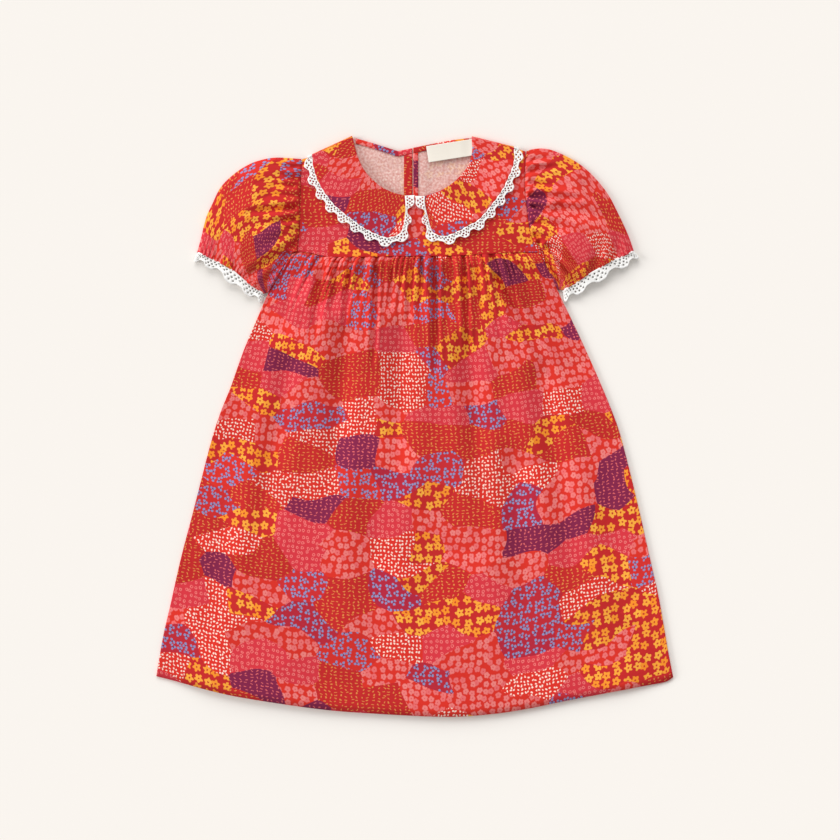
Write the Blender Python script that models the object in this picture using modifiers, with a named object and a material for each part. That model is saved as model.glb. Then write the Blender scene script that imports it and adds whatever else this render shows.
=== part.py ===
"""A toddler's A-line dress with puff sleeves and a lace-edged round collar, laid flat on its back.

Sizes are in millimetres here and go into Blender as metres. +Y runs from hem to neck, +Z is up,
the front of the dress faces up and z = 0 is the surface that it lies on.
"""

import math

import bmesh
import bpy
import numpy as np

MM = 0.001
WALL = 1.0  # thickness of every cloth wall
GAP = 0.3  # between pieces that lie on each other
SEAM = 0.25  # each piece stops this far short of its seam line
BACK_LIFT = 1.3  # back yoke above the surface, over the back halves of the collar
FRONT_LIFT = 2.6  # front yoke above the surface at the shoulder seams
FRONT_RISE = 2.8  # how much higher the front yoke lies over the middle of the back
SKIRT_LENGTH = 455.0
GATHERS = 26  # on the front skirt, four columns of points each
SLEEVE_GATHERS = 12
SLEEVE_PUFF = 10.5
LACE_WIDTH = 9.0
LACE_PITCH = 15.0
CUFF_LACE_PITCH = 17.0
SCALLOP = 3.0  # depth of the lace's scallops

# Outlines, as (x, y) of the dress laid out.
SEAM_LINE = [
    (-117.7, 173.6), (-105, 172.4), (-84, 168.4), (-44, 168.6), (14, 169.2), (46, 169.8), (86, 172.2),
    (121.8, 173.4),
]
ARMHOLE_LEFT = [(-113.3, 266), (-114.5, 245), (-115.2, 222), (-115.6, 200), (-117.7, 173.6)]
ARMHOLE_RIGHT = [(110.2, 273.6), (108.9, 242), (111.3, 216), (115.2, 191), (121.8, 173.4)]
UNDERARM_LEFT = [(-117.7, 173.6), (-124, 170), (-134.5, 153.5), (-143.5, 138.5), (-150, 126)]
UNDERARM_RIGHT = [(121.8, 173.4), (127, 166), (134.8, 151.5), (140.2, 140), (145, 128.5)]
SIDE_LEFT = [
    (-150, 126), (-162.2, 97.3), (-172.5, 73), (-184.6, 38.7), (-194.9, 12.9), (-205.2, -19.8),
    (-221.9, -84.9), (-234.5, -133), (-245, -179.5), (-252.3, -211.5), (-259, -250.6),
]
SIDE_RIGHT = [
    (145, 128.5), (156.5, 104.8), (169.5, 77), (184.2, 43.8), (197.2, 12.3), (206.4, -15.4),
    (221.2, -74.5), (234.2, -132), (243.4, -173), (252.7, -226.5), (257.6, -251.5),
]
HEM = [
    (-259, -250.6), (-240, -255.4), (-204, -265), (-168.5, -272.4), (-97, -283), (-43.5, -287.5),
    (30, -290.8), (77, -288), (114, -282.4), (151, -274.8), (225, -260.8), (249, -256.5), (257.6, -251.5),
]
SHOULDER_LEFT = [(-113.3, 266), (-103.5, 269.3), (-62.8, 288.1)]
SHOULDER_RIGHT = [(56.1, 287.6), (98.8, 277.0), (110.2, 273.6)]
FRONT_NECK = [
    (-62.8, 288.1), (-57.6, 269), (-50, 253.5), (-35.7, 239.3), (-22.5, 232.6), (-9.7, 229), (8.7, 228.5),
    (24.5, 234.2), (36.5, 241.5), (46.9, 251.5), (53.1, 260.7), (56.6, 274), (56.1, 287.6),
]
BACK_NECK = [
    (-62.8, 288.1), (-40, 281.4), (-17.5, 274.2), (2, 278.3), (21.5, 282.4), (36.5, 285.2), (56.1, 287.6),
]
COLLAR_LEFT_FRONT = [(-9.9, 229.2), (-9.3, 215.3), (-11.1, 200), (-14.4, 192.3)]
COLLAR_LEFT_EDGE = [
    (-14.4, 192.3), (-19.5, 188.8), (-27.1, 187.2), (-34.8, 188.8), (-50.1, 195.9), (-61.8, 204.1),
    (-73.1, 212.6), (-83.8, 222.8), (-96, 240.7), (-101.6, 256), (-103.5, 269.3),
]
COLLAR_RIGHT_FRONT = [(8.9, 228.7), (9, 220.2), (12.1, 206.9), (15.6, 195.2)]
COLLAR_RIGHT_EDGE = [
    (15.6, 195.2), (20, 190.8), (28.9, 188.6), (41.1, 192.6), (52.4, 198.8), (63.1, 204.9),
    (74.4, 217.6), (86.1, 233.5), (92.3, 245.7), (98.4, 262), (98.8, 277.0),
]
COLLAR_LEFT_BACK_EDGE = [(-103.5, 269.3), (-97.5, 248), (-80, 230), (-55, 220.5), (-32, 219), (-21, 226)]
COLLAR_RIGHT_BACK_EDGE = [(98.8, 277.0), (93, 254), (77, 237), (56, 228), (35, 226), (22, 232)]
SLEEVE_LEFT_EDGE = [
    (-113.3, 266), (-137.5, 267.8), (-152.2, 265.9), (-166.8, 260.8), (-181.5, 251.2), (-194.7, 238),
    (-203.5, 220.5), (-209.4, 207.2), (-214.5, 186.7), (-218.2, 173.2),
]
SLEEVE_RIGHT_EDGE = [
    (110.2, 273.6), (116.8, 276), (128, 276.8), (140.8, 273.6), (159.9, 264), (175.8, 251.3),
    (191.8, 232.2), (202.9, 211.4), (212.5, 190.7), (218.1, 174.8),
]
CUFF_LEFT = [
    (-218.2, 173.2), (-199.8, 164.2), (-183.7, 155.3), (-173, 146.5), (-162.5, 138.5), (-156, 133.2),
]
CUFF_RIGHT = [(218.1, 174.8), (211, 170.3), (198, 165), (184.2, 157), (172, 150), (158.5, 141), (152, 136)]
CUFF_LACE_LEFT = [
    (-222.5, 164.5), (-213.2, 160.2), (-199.8, 153.5), (-186.5, 142.5), (-174, 133.5), (-158.7, 122.6),
]
CUFF_LACE_RIGHT = [(224.5, 169), (215, 160.5), (201, 154), (187, 145), (171.5, 135.5), (152.8, 122.8)]

PRINT_RED = (0.52, 0.05, 0.10)
LACE_WHITE = (0.86, 0.85, 0.82)
LABEL_WHITE = (0.80, 0.78, 0.74)
BUTTON_WHITE = (0.83, 0.80, 0.76)

for old in list(bpy.data.objects):
    bpy.data.objects.remove(old, do_unlink=True)
dress = bpy.data.collections.new("lace_trim_dress")
bpy.context.scene.collection.children.link(dress)


def smooth(value):
    """0 below 0, 1 above 1 and an even S between."""
    value = min(max(value, 0.0), 1.0)
    return value * value * (3 - 2 * value)


def path(points):
    """A smooth curve through the points, as a function of the share of its length."""
    known = np.array(points, float)
    ends = np.vstack([2 * known[0] - known[1], known, 2 * known[-1] - known[-2]])
    share = np.linspace(0, 1, 12, endpoint=False)[:, None]
    fine = []
    for a, b, c, d in zip(ends, ends[1:], ends[2:], ends[3:]):
        bend = (2 * a - 5 * b + 4 * c - d) * share**2 + (3 * b - a - 3 * c + d) * share**3
        fine.append(0.5 * (2 * b + (c - a) * share + bend))
    fine = np.vstack([*fine, known[-1:]])
    run = np.concatenate([[0], np.cumsum(np.linalg.norm(np.diff(fine, axis=0), axis=1))])

    def at(part):
        return np.array([np.interp(part * run[-1], run, fine[:, axis]) for axis in (0, 1)])

    at.length = run[-1]
    return at


def joined(paths, breaks):
    """Several paths end to end, each taking its share of 0 to 1."""

    def at(part):
        for curve, start, end in zip(paths, breaks, breaks[1:]):
            if part <= end or end == breaks[-1]:
                return curve(min(max((part - start) / (end - start), 0), 1))

    return at


def patch(top, bottom, first, last):
    """The surface between four edges: top and bottom run along u, first and last along v."""
    corners = [top(0), top(1), bottom(0), bottom(1)]

    def at(u, v):
        across = (1 - v) * top(u) + v * bottom(u)
        down = (1 - u) * first(v) + u * last(v)
        upper = (1 - u) * corners[0] + u * corners[1]
        lower = (1 - u) * corners[2] + u * corners[3]
        return across + down - (1 - v) * upper - v * lower

    return at


def inset(plan, left=SEAM, right=SEAM, top=SEAM, bottom=SEAM, size=(200, 100)):
    """The same surface, ending short of its edges by these amounts."""
    wide, tall = size

    def at(u, v):
        u = left / wide + u * (1 - (left + right) / wide)
        v = top / tall + v * (1 - (top + bottom) / tall)
        return plan(u, v)

    return at


def material(name, colour, roughness=0.85):
    made = bpy.data.materials.new(name)
    made.use_nodes = True
    shader = made.node_tree.nodes["Principled BSDF"]
    shader.inputs["Base Color"].default_value = (*colour, 1)
    shader.inputs["Roughness"].default_value = roughness
    shader.inputs["Metallic"].default_value = 0
    return made


def cloth(name, columns, rows, place, colour, up=True, tube=False, wall=WALL):
    """A cloth wall on the surface place(u, v). An open sheet is thickened away from that surface,
    upward where it first faces up; a tube is thickened inward."""
    grid = bmesh.new()
    bmesh.ops.create_grid(grid, x_segments=columns, y_segments=rows, size=0.5)
    spread = 2 * max(vert.co.x for vert in grid.verts)
    for vert in grid.verts:
        u, v = vert.co.x / spread + 0.5, vert.co.y / spread + 0.5
        vert.co = [MM * value for value in place(round(u, 6), round(v, 6))]
    if tube:
        bmesh.ops.remove_doubles(grid, verts=grid.verts, dist=1e-6)
    grid.normal_update()
    faces = list(grid.faces)
    if tube:
        highest = max(faces, key=lambda face: face.calc_center_median().z)
        wrong = highest.normal.z < 0
    else:
        wrong = (faces[0].normal.z > 0) != up
    if wrong:
        bmesh.ops.reverse_faces(grid, faces=faces)
    mesh = bpy.data.meshes.new(name)
    grid.to_mesh(mesh)
    grid.free()
    mesh.shade_smooth()
    piece = bpy.data.objects.new(name, mesh)
    dress.objects.link(piece)
    mesh.materials.append(material(name, colour))
    shell = piece.modifiers.new("wall", "SOLIDIFY")
    shell.thickness = wall * MM
    shell.offset = -1 if tube else 1
    return piece


def shoulder_distance(x, y):
    """How far a point lies below the nearer shoulder seam."""
    line = SHOULDER_LEFT[1:] if x < 0 else SHOULDER_RIGHT[:2]
    (ax, ay), (bx, by) = line
    long = math.hypot(bx - ax, by - ay)
    return ((x - ax) * (by - ay) - (y - ay) * (bx - ax)) / long


def front_under(x, y):
    """Underside of the front yoke."""
    from_armhole = 113 - abs(x)
    rise = 0.3 + 0.7 * smooth(from_armhole / 55)
    return FRONT_LIFT + FRONT_RISE * rise * smooth(shoulder_distance(x, y) / 60)


def collar_under(x, y):
    return front_under(x, y) + WALL + 0.5


def back_right_under(x):
    """The right half of the back laps over the left half at the centre opening."""
    return BACK_LIFT + (WALL + GAP) * (1 - smooth((x - 7) / 11))


# Front yoke: one cut piece from shoulder seams and neck to the gathered seam.
yoke_breaks = [0, 6 / 28, 22 / 28, 1]
front_top = joined([path(SHOULDER_LEFT), path(FRONT_NECK), path(SHOULDER_RIGHT)], yoke_breaks)
seam_curve = path(SEAM_LINE)


def front_bottom(u):
    return seam_curve(np.interp(u, yoke_breaks, [0, 0.13, 0.87, 1]))


front_plan = inset(
    patch(front_top, front_bottom, path(ARMHOLE_LEFT), path(ARMHOLE_RIGHT)), size=(235, 80)
)


def front_yoke(u, v):
    x, y = front_plan(u, v)
    return x, y, front_under(x, y)


cloth("front_yoke", 28, 7, front_yoke, PRINT_RED)

# Back yoke: two halves that overlap at the centre, for the back opening.
LEFT_BACK_END, RIGHT_BACK_END = 6.0, -2.5
neck_x = np.array(BACK_NECK)


def neck_height(x):
    return np.interp(x, neck_x[:, 0], neck_x[:, 1])


left_neck = path([point for point in BACK_NECK if point[0] < 0] + [(LEFT_BACK_END, neck_height(6))])
right_neck = path([(RIGHT_BACK_END, neck_height(-2.5))] + [point for point in BACK_NECK if point[0] > 0])
left_seam = path([point for point in SEAM_LINE if point[0] < 0] + [(LEFT_BACK_END, 169.0)])
right_seam = path([(RIGHT_BACK_END, 169.0)] + [point for point in SEAM_LINE if point[0] > 0])
left_plan = inset(
    patch(
        joined([path(SHOULDER_LEFT), left_neck], [0, 0.5, 1]),
        left_seam,
        path(ARMHOLE_LEFT),
        path([(LEFT_BACK_END, neck_height(6)), (LEFT_BACK_END, 169.0)]),
    ),
    size=(120, 100),
)
right_plan = inset(
    patch(
        joined([right_neck, path(SHOULDER_RIGHT)], [0, 0.5, 1]),
        right_seam,
        path([(RIGHT_BACK_END, neck_height(-2.5)), (RIGHT_BACK_END, 169.0)]),
        path(ARMHOLE_RIGHT),
    ),
    size=(120, 100),
)


def back_yoke_left(u, v):
    x, y = left_plan(u, v)
    return x, y, BACK_LIFT


def back_yoke_right(u, v):
    x, y = right_plan(u, v)
    return x, y, back_right_under(x)


cloth("back_yoke_left", 10, 5, back_yoke_left, PRINT_RED)
cloth("back_yoke_right", 16, 5, back_yoke_right, PRINT_RED)

# Placket facings down both edges of the back opening, on the inside.
PLACKET_END = 181.0
BINDING_WIDTH = 5.5


def placket_left(u, v):
    x = -11.5 + u * 8.4
    top = neck_height(x) - BINDING_WIDTH - 0.8
    return x, top + (PLACKET_END - top) * v, BACK_LIFT + WALL + GAP


def placket_right(u, v):
    x = RIGHT_BACK_END + 0.3 + u * 5.0
    top = neck_height(x) - BINDING_WIDTH - 0.8
    return x, top + (PLACKET_END - top) * v, back_right_under(x) + WALL + GAP


cloth("placket_left", 2, 6, placket_left, PRINT_RED)
cloth("placket_right", 2, 6, placket_right, PRINT_RED)


# Bias binding along the back neck, on the inside, in two parts that end at the opening.
def binding_left(u, v):
    x = -58.5 + u * 55.2
    return x, neck_height(x) - 0.3 - BINDING_WIDTH * v, BACK_LIFT + WALL + GAP


def binding_right(u, v):
    x = -2.2 + u * 54.5
    return x, neck_height(x) - 0.3 - BINDING_WIDTH * v, back_right_under(x) + WALL + GAP


cloth("neck_binding_left", 8, 1, binding_left, PRINT_RED)
cloth("neck_binding_right", 14, 1, binding_right, PRINT_RED)


# Woven label, sewn by its ends over the binding.
def label(u, v):
    angle = math.radians(9)
    along, across = 42.5 * (u - 0.5), 15.5 * (0.5 - v)
    x = 33.2 + along * math.cos(angle) - across * math.sin(angle)
    y = 273.9 + along * math.sin(angle) + across * math.cos(angle)
    return x, y, back_right_under(min(x, 18)) + 2 * WALL + 2 * GAP + 0.15


cloth("neck_label", 10, 2, label, LABEL_WHITE)

# Collar: two halves that meet at the centre front. Each folds over the shoulder seam, so that its
# back half lies under the back yoke. The lace runs along its outer edge, in the same fold.
FOLD_HIGH = FRONT_LIFT + WALL + 0.5
FOLD_LOW = BACK_LIFT - GAP
FOLD_RADIUS = (FOLD_HIGH - FOLD_LOW) / 2


def folded(front, back, shoulder, outward, breaks):
    """A sheet that lies on the front, turns round the shoulder line and lies flat behind.
    front and back give (x, y) and shoulder gives the points of the fold line."""
    fold_start, fold_end = breaks

    def at(u, v):
        if u < fold_start:
            x, y = front(u / fold_start, v)
            return x, y, collar_under(x, y)
        if u > fold_end:
            x, y = back((u - fold_end) / (1 - fold_end), v)
            return x, y, FOLD_LOW
        angle = math.pi * (u - fold_start) / (fold_end - fold_start)
        x, y = shoulder(v) + outward * FOLD_RADIUS * math.sin(angle)
        return x, y, FOLD_LOW + FOLD_RADIUS * (1 + math.cos(angle))

    return at


def straight(start, end):
    start, end = np.array(start, float), np.array(end, float)
    return lambda part: start + part * (end - start)


def outward_of(line):
    (ax, ay), (bx, by) = line
    long = math.hypot(bx - ax, by - ay)
    normal = np.array([ay - by, bx - ax]) / long
    return normal if normal[1] > 0 else -normal


LEFT_NECK_POINT, LEFT_TIP = SHOULDER_LEFT[2], SHOULDER_LEFT[1]
RIGHT_NECK_POINT, RIGHT_TIP = SHOULDER_RIGHT[0], SHOULDER_RIGHT[1]
FRONT_COLUMNS, FOLD_COLUMNS, BACK_COLUMNS = 14, 4, 9
ALL_COLUMNS = FRONT_COLUMNS + FOLD_COLUMNS + BACK_COLUMNS
BREAKS = (FRONT_COLUMNS / ALL_COLUMNS, (FRONT_COLUMNS + FOLD_COLUMNS) / ALL_COLUMNS)


def collar_half(front_neck, edge, front_edge, back_neck, back_edge, centre_back, neck_point, tip):
    """front_neck and edge run from the centre front to the shoulder, the back ones on from it."""
    shoulder = straight(neck_point, tip)
    front = patch(path(front_neck), path(edge), path(front_edge), shoulder)
    back = patch(path(back_neck), path(back_edge), shoulder, path(centre_back))
    return folded(front, back, shoulder, outward_of([neck_point, tip]), BREAKS)


left_collar = collar_half(
    [COLLAR_LEFT_FRONT[0], *[point for point in FRONT_NECK if point[0] < -10][::-1]],
    COLLAR_LEFT_EDGE,
    COLLAR_LEFT_FRONT,
    [*BACK_NECK[:2], (-19, 274.6)],
    COLLAR_LEFT_BACK_EDGE,
    [(-19, 274.6), (-18, 250), (-21, 226)],
    LEFT_NECK_POINT,
    LEFT_TIP,
)
right_collar = collar_half(
    [COLLAR_RIGHT_FRONT[0], *[point for point in FRONT_NECK if point[0] > 10]],
    COLLAR_RIGHT_EDGE,
    COLLAR_RIGHT_FRONT,
    [*BACK_NECK[:3:-1], (19, 281.8)],
    COLLAR_RIGHT_BACK_EDGE,
    [(19, 281.8), (18.5, 258), (22, 232)],
    RIGHT_NECK_POINT,
    RIGHT_TIP,
)
cloth("collar_left", ALL_COLUMNS, 4, left_collar, PRINT_RED)
cloth("collar_right", ALL_COLUMNS, 4, right_collar, PRINT_RED)


def edging(curve, width, pitch, depth, side, start_width):
    """A strip beside a curve with a scalloped outer edge: v = 0 lies on the curve."""
    count = max(round(curve.length / pitch), 1)

    def at(u, v):
        here = curve(u)
        ahead = curve(min(u + 0.01, 1)) - curve(max(u - 0.01, 0))
        normal = side * np.array([-ahead[1], ahead[0]]) / np.linalg.norm(ahead)
        scallop = depth * (0.5 - 0.5 * math.cos(2 * math.pi * count * u))
        reach = start_width + (width - start_width) * smooth(u / 0.12)
        return here + normal * (GAP + v * (reach - depth + scallop - GAP))

    at.count = count
    return at


def collar_lace(front_edge, back_edge, neck_point, tip, side):
    """The strip of lace along one half of the collar, from the centre front to the centre back."""
    front = edging(path(front_edge), LACE_WIDTH, LACE_PITCH, SCALLOP, side, 6.4)
    back = edging(path(back_edge), LACE_WIDTH - 1, LACE_PITCH, SCALLOP, -side, LACE_WIDTH - 1)
    along = (np.array(tip) - np.array(neck_point)) / np.linalg.norm(np.array(tip) - np.array(neck_point))
    reach = LACE_WIDTH - 1 - SCALLOP

    def blend(strip, shoulder_end):
        """Turns the strip's end onto the fold line."""

        def at(u, v):
            near = smooth(1 - abs(shoulder_end - u) / 0.06)
            on_line = np.array(tip) + along * (GAP + v * (reach - GAP))
            return (1 - near) * strip(u, v) + near * on_line

        return at

    columns = [4 * front.count, 4, 4 * back.count]
    total = sum(columns)
    fold = (columns[0] / total, (columns[0] + columns[1]) / total)
    strip = folded(
        blend(front, 1),
        blend(back, 0),
        lambda v: np.array(tip) + along * (GAP + v * (reach - GAP)),
        outward_of([neck_point, tip]),
        fold,
    )
    return strip, total


left_lace, left_total = collar_lace(
    COLLAR_LEFT_FRONT[:-1] + COLLAR_LEFT_EDGE,
    [*COLLAR_LEFT_BACK_EDGE, (-18, 250), (-19, 272)],
    LEFT_NECK_POINT,
    LEFT_TIP,
    1,
)
right_lace, right_total = collar_lace(
    COLLAR_RIGHT_FRONT[:-1] + COLLAR_RIGHT_EDGE,
    [*COLLAR_RIGHT_BACK_EDGE, (18.5, 258), (19, 279)],
    RIGHT_NECK_POINT,
    RIGHT_TIP,
    -1,
)
cloth("collar_lace_left", left_total, 1, left_lace, LACE_WHITE)
cloth("collar_lace_right", right_total, 1, right_lace, LACE_WHITE)

# Skirt: a gathered front panel over a back panel, sewn at the sides.
skirt_edges = [0, 56 / SKIRT_LENGTH, 1]
skirt_patch = patch(
    path(SEAM_LINE),
    path(HEM),
    joined([path(UNDERARM_LEFT), path(SIDE_LEFT)], skirt_edges),
    joined([path(UNDERARM_RIGHT), path(SIDE_RIGHT)], skirt_edges),
)
skirt_plan = inset(skirt_patch, left=0.3, right=0.3, top=SEAM, bottom=0, size=(240, SKIRT_LENGTH))
SKIRT_ROWS = np.array([0, 3, 12, 24, 42, 66, 100, 145, 205, 280, 365, SKIRT_LENGTH]) / SKIRT_LENGTH
# Deep folds below the gathers: share of the width, depth, reach down the skirt and half width.
DEEP_FOLDS = [
    (0.10, 1.6, 95, 7), (0.225, 2.2, 120, 5), (0.33, 1.9, 110, 5), (0.47, 2.2, 150, 5),
    (0.575, 2.4, 125, 5), (0.67, 2.3, 140, 6), (0.80, 1.5, 90, 7), (0.90, 1.6, 150, 8),
]


def skirt_lift(y):
    """The back skirt rises from the surface to meet the back yoke."""
    return BACK_LIFT * smooth((y - 112) / 56)


def skirt_back(u, v):
    x, y = skirt_plan(u, SKIRT_ROWS[round(v * (len(SKIRT_ROWS) - 1))])
    return x, y, skirt_lift(y)


def skirt_front(u, v):
    v = SKIRT_ROWS[round(v * (len(SKIRT_ROWS) - 1))]
    x, y = skirt_plan(u, v)
    down = v * SKIRT_LENGTH
    width = 240 + 280 * v
    gather, phase = divmod(u * GATHERS, 1)
    strength = 0.65 + 0.35 * math.sin(2.4 * gather + 0.7)
    fine = strength * (0.5 - 0.5 * math.cos(2 * math.pi * phase))
    side = smooth(min(u, 1 - u) * width / 60)
    seam_height = front_under(x, 170) - BACK_LIFT - WALL - GAP
    body = seam_height * (1 - smooth(down / 110)) + 2.0 * smooth(down / 110)
    bulge = 0.8 * smooth((down - 2) / 22) * (1 - smooth((down - 30) / 130))
    height = (body + bulge) * (side if down > 30 else 1 - (1 - side) * down / 30)
    height += 2.1 * fine * (1 - 0.75 * smooth(down / 90)) * (1 - smooth((down - 90) / 140)) * side
    for centre, depth, reach, half in DEEP_FOLDS:
        away = (u - centre) * width / (half * (1 + down / 120))
        fade = smooth((down + 8) / 24) * (1 - smooth((down - reach * 0.3) / reach))
        height += 0.8 * depth * fade * (math.exp(-((away - 1.6) ** 2)) - math.exp(-(away**2)))
    height += 0.7 * side * smooth(down / 150) * math.sin(11 * u + 0.012 * down) * math.cos(5 * u - 1)
    height = max(height, 0.15)
    return x, y, max(skirt_lift(y), 0) + WALL + GAP + height


cloth("skirt_back", 24, len(SKIRT_ROWS) - 1, skirt_back, PRINT_RED)
cloth("skirt_front", 4 * GATHERS, len(SKIRT_ROWS) - 1, skirt_front, PRINT_RED)

# Puff sleeves: a tube each, flat below, full above, gathered into the armhole and into the cuff.
SLEEVE_ROWS = (0, 0.06, 0.16, 0.3, 0.47, 0.66, 0.85, 1)
# Shares across the lower wall, closer together at the corner of the armhole.
LOWER_SHARES = (1, 0.88, 0.79, 0.74, 0.705, 0.675, 0.65, 0.62, 0.56, 0.42, 0.28, 0.14, 0)
UPPER_COLUMNS, LOWER_COLUMNS, TURN_COLUMNS = 4 * SLEEVE_GATHERS, len(LOWER_SHARES) - 1, 4
AROUND = UPPER_COLUMNS + LOWER_COLUMNS + 2 * TURN_COLUMNS


def tube_point(column, upper, lower, turn):
    """Where a column lies on a flattened tube: the share across, the edge turn in degrees or
    None, and whether it is on the upper wall."""
    column %= upper + lower + 2 * turn
    if column < turn:
        return 0.0, -90 + 180 * column / turn, True
    column -= turn
    if column <= upper:
        return column / upper, None, True
    column -= upper
    if column < turn:
        return 1.0, 90 - 180 * column / turn, True
    column -= turn
    return 1 - column / lower, None, False


def sleeve_height(s, across, column):
    """Height of the upper wall over the flattened edges."""
    puff = SLEEVE_PUFF * math.sin(math.pi * min(0.06 + 0.80 * s, 1)) ** 0.8
    full = puff * max(math.sin(math.pi * across), 0) ** 0.65
    phase = column / 4
    strength = 0.7 + 0.3 * math.sin(1.9 * math.floor(phase) + 0.4)
    ridge = strength * (0.5 - 0.5 * math.cos(2 * math.pi * phase))
    edge = smooth(min(across, 1 - across) / 0.08)
    head = 1.8 * (1 - smooth(s / 0.5))
    hem = 1.3 * smooth((s - 0.62) / 0.38)
    return full + ridge * edge * (head + hem)


def make_sleeve(armhole, edge, cuff, crease, sign):
    """A function giving the outer surface. crease is a trough from the underarm, as two points."""
    armhole_curve = armhole
    under = straight(armhole_curve(1), cuff[-1])
    plan = patch(armhole_curve, path(cuff), path(edge), under)
    (ax, ay), (bx, by) = crease

    def surface(u, v):
        s = SLEEVE_ROWS[round(v * (len(SLEEVE_ROWS) - 1))]
        across, turn, on_top = tube_point(round(u * AROUND), UPPER_COLUMNS, LOWER_COLUMNS, TURN_COLUMNS)
        wide = np.linalg.norm(plan(1, s) - plan(0, s))
        radius = 1.45 + 0.5 * s
        base = BACK_LIFT * (1 - smooth(s / 0.4))
        if turn is not None:
            reach = radius * (1 - math.cos(math.radians(turn))) / wide
            x, y = plan(reach if across == 0 else 1 - reach, s)
            return x, y, base + radius * (1 + math.sin(math.radians(turn)))
        if not on_top:
            across = LOWER_SHARES[round((1 - across) * LOWER_COLUMNS)]
        x, y = plan(radius / wide + across * (1 - 2 * radius / wide), s)
        if not on_top:
            return x, y, base
        column = across * UPPER_COLUMNS
        z = base + 2 * radius + sleeve_height(s, across, column)
        share = min(max(((x - ax) * (bx - ax) + (y - ay) * (by - ay)) / ((bx - ax) ** 2 + (by - ay) ** 2), 0), 1)
        away = math.hypot(x - ax - share * (bx - ax), y - ay - share * (by - ay))
        trough = 2.6 * math.exp(-((away / 6) ** 2)) * smooth(s / 0.15) * smooth((1 - across) / 0.12)
        return x, y, max(z - trough, base + 2 * radius)

    return surface, plan


def moved(curve, shift):
    """The curve beside its seam, ending short of the underarm, where the sleeve turns to the cuff."""
    return lambda part: curve(0.95 * part) + np.array(shift)


armhole_left = moved(joined([path(ARMHOLE_LEFT), path(UNDERARM_LEFT)], [0, 0.63, 1]), (-0.6, 0.3))
armhole_right = moved(joined([path(ARMHOLE_RIGHT), path(UNDERARM_RIGHT)], [0, 0.66, 1]), (0.6, 0.3))
left_sleeve, left_sleeve_plan = make_sleeve(
    armhole_left,
    [(-113.9, 266.3), *SLEEVE_LEFT_EDGE[1:]],
    CUFF_LEFT,
    ((-130, 176), (-167, 150)),
    -1,
)
right_sleeve, right_sleeve_plan = make_sleeve(
    armhole_right,
    [(110.8, 273.9), *SLEEVE_RIGHT_EDGE[1:]],
    CUFF_RIGHT,
    ((127, 172), (146, 140)),
    1,
)
cloth("sleeve_left", AROUND, len(SLEEVE_ROWS) - 1, left_sleeve, PRINT_RED, tube=True)
cloth("sleeve_right", AROUND, len(SLEEVE_ROWS) - 1, right_sleeve, PRINT_RED, tube=True)

# Lace round each cuff, scalloped, as a tube that carries on from the sleeve.
LACE_UPPER, LACE_LOWER = 20, 12


def cuff_lace(cuff, outer):
    inner_curve, outer_curve = path(cuff), path(outer)
    count = round(outer_curve.length / CUFF_LACE_PITCH)
    around = LACE_UPPER + LACE_LOWER + 2 * TURN_COLUMNS

    def surface(u, v):
        across, turn, on_top = tube_point(round(u * around), LACE_UPPER, LACE_LOWER, TURN_COLUMNS)
        radius = 1.95
        if turn is None:
            share = 0.025 + 0.95 * across
            z = 2 * radius + (1 - 0.15 * v) * sleeve_height(1, across, 0) if on_top else 0
        else:
            reach = 0.025 * (1 - math.cos(math.radians(turn)))
            share = reach if across == 0 else 1 - reach
            z = radius * (1 + math.sin(math.radians(turn)))
        scallop = 0.5 - 0.5 * math.cos(2 * math.pi * count * share)
        start, end = inner_curve(share), outer_curve(share)
        run = np.linalg.norm(end - start)
        x, y = start + (end - start) * (0.5 + v * (run - 0.5 - SCALLOP * (1 - scallop))) / run
        return x, y, z

    return surface, around


for side, cuff, outer in (("left", CUFF_LEFT, CUFF_LACE_LEFT), ("right", CUFF_RIGHT, CUFF_LACE_RIGHT)):
    surface, around = cuff_lace(cuff, outer)
    cloth(f"sleeve_lace_{side}", around, 2, surface, LACE_WHITE, tube=True)

# Three small buttons on the back opening, between the back halves of the collar and below them.
BUTTON_WIDTH, BUTTON_THICKNESS = 9.0, 1.0
button_material = material("button", BUTTON_WHITE, 0.35)
for number, height in enumerate((266.0, 230.0, 194.0), start=1):
    shape = bmesh.new()
    bmesh.ops.create_cone(
        shape, cap_ends=True, segments=20, radius1=BUTTON_WIDTH * MM / 2, radius2=BUTTON_WIDTH * MM / 2,
        depth=BUTTON_THICKNESS * MM,
    )
    mesh = bpy.data.meshes.new(f"back_button_{number}")
    shape.to_mesh(mesh)
    shape.free()
    mesh.materials.append(button_material)
    button = bpy.data.objects.new(f"back_button_{number}", mesh)
    button.location = (2 * MM, height * MM, BUTTON_THICKNESS * MM / 2)
    dress.objects.link(button)

# The dress lies centred on the frame's origin.
bpy.context.view_layer.update()
graph = bpy.context.evaluated_depsgraph_get()
corners = []
for piece in dress.objects:
    shape = piece.evaluated_get(graph)
    corners += [shape.matrix_world @ vert.co for vert in shape.data.vertices]
for axis in (0, 1):
    spread = [corner[axis] for corner in corners]
    middle = (min(spread) + max(spread)) / 2
    for piece in dress.objects:
        piece.location[axis] -= middle
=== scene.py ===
"""The looks of a toddler's A-line dress, laid flat on its back on a pale table.

Sizes are in millimetres and are turned to metres as each mesh is made. The sections follow the dress
as it is sewn: table and light, cloth, yokes, skirt, sleeves, opening and label, collar, lace, buttons.
"""

import math

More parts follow.
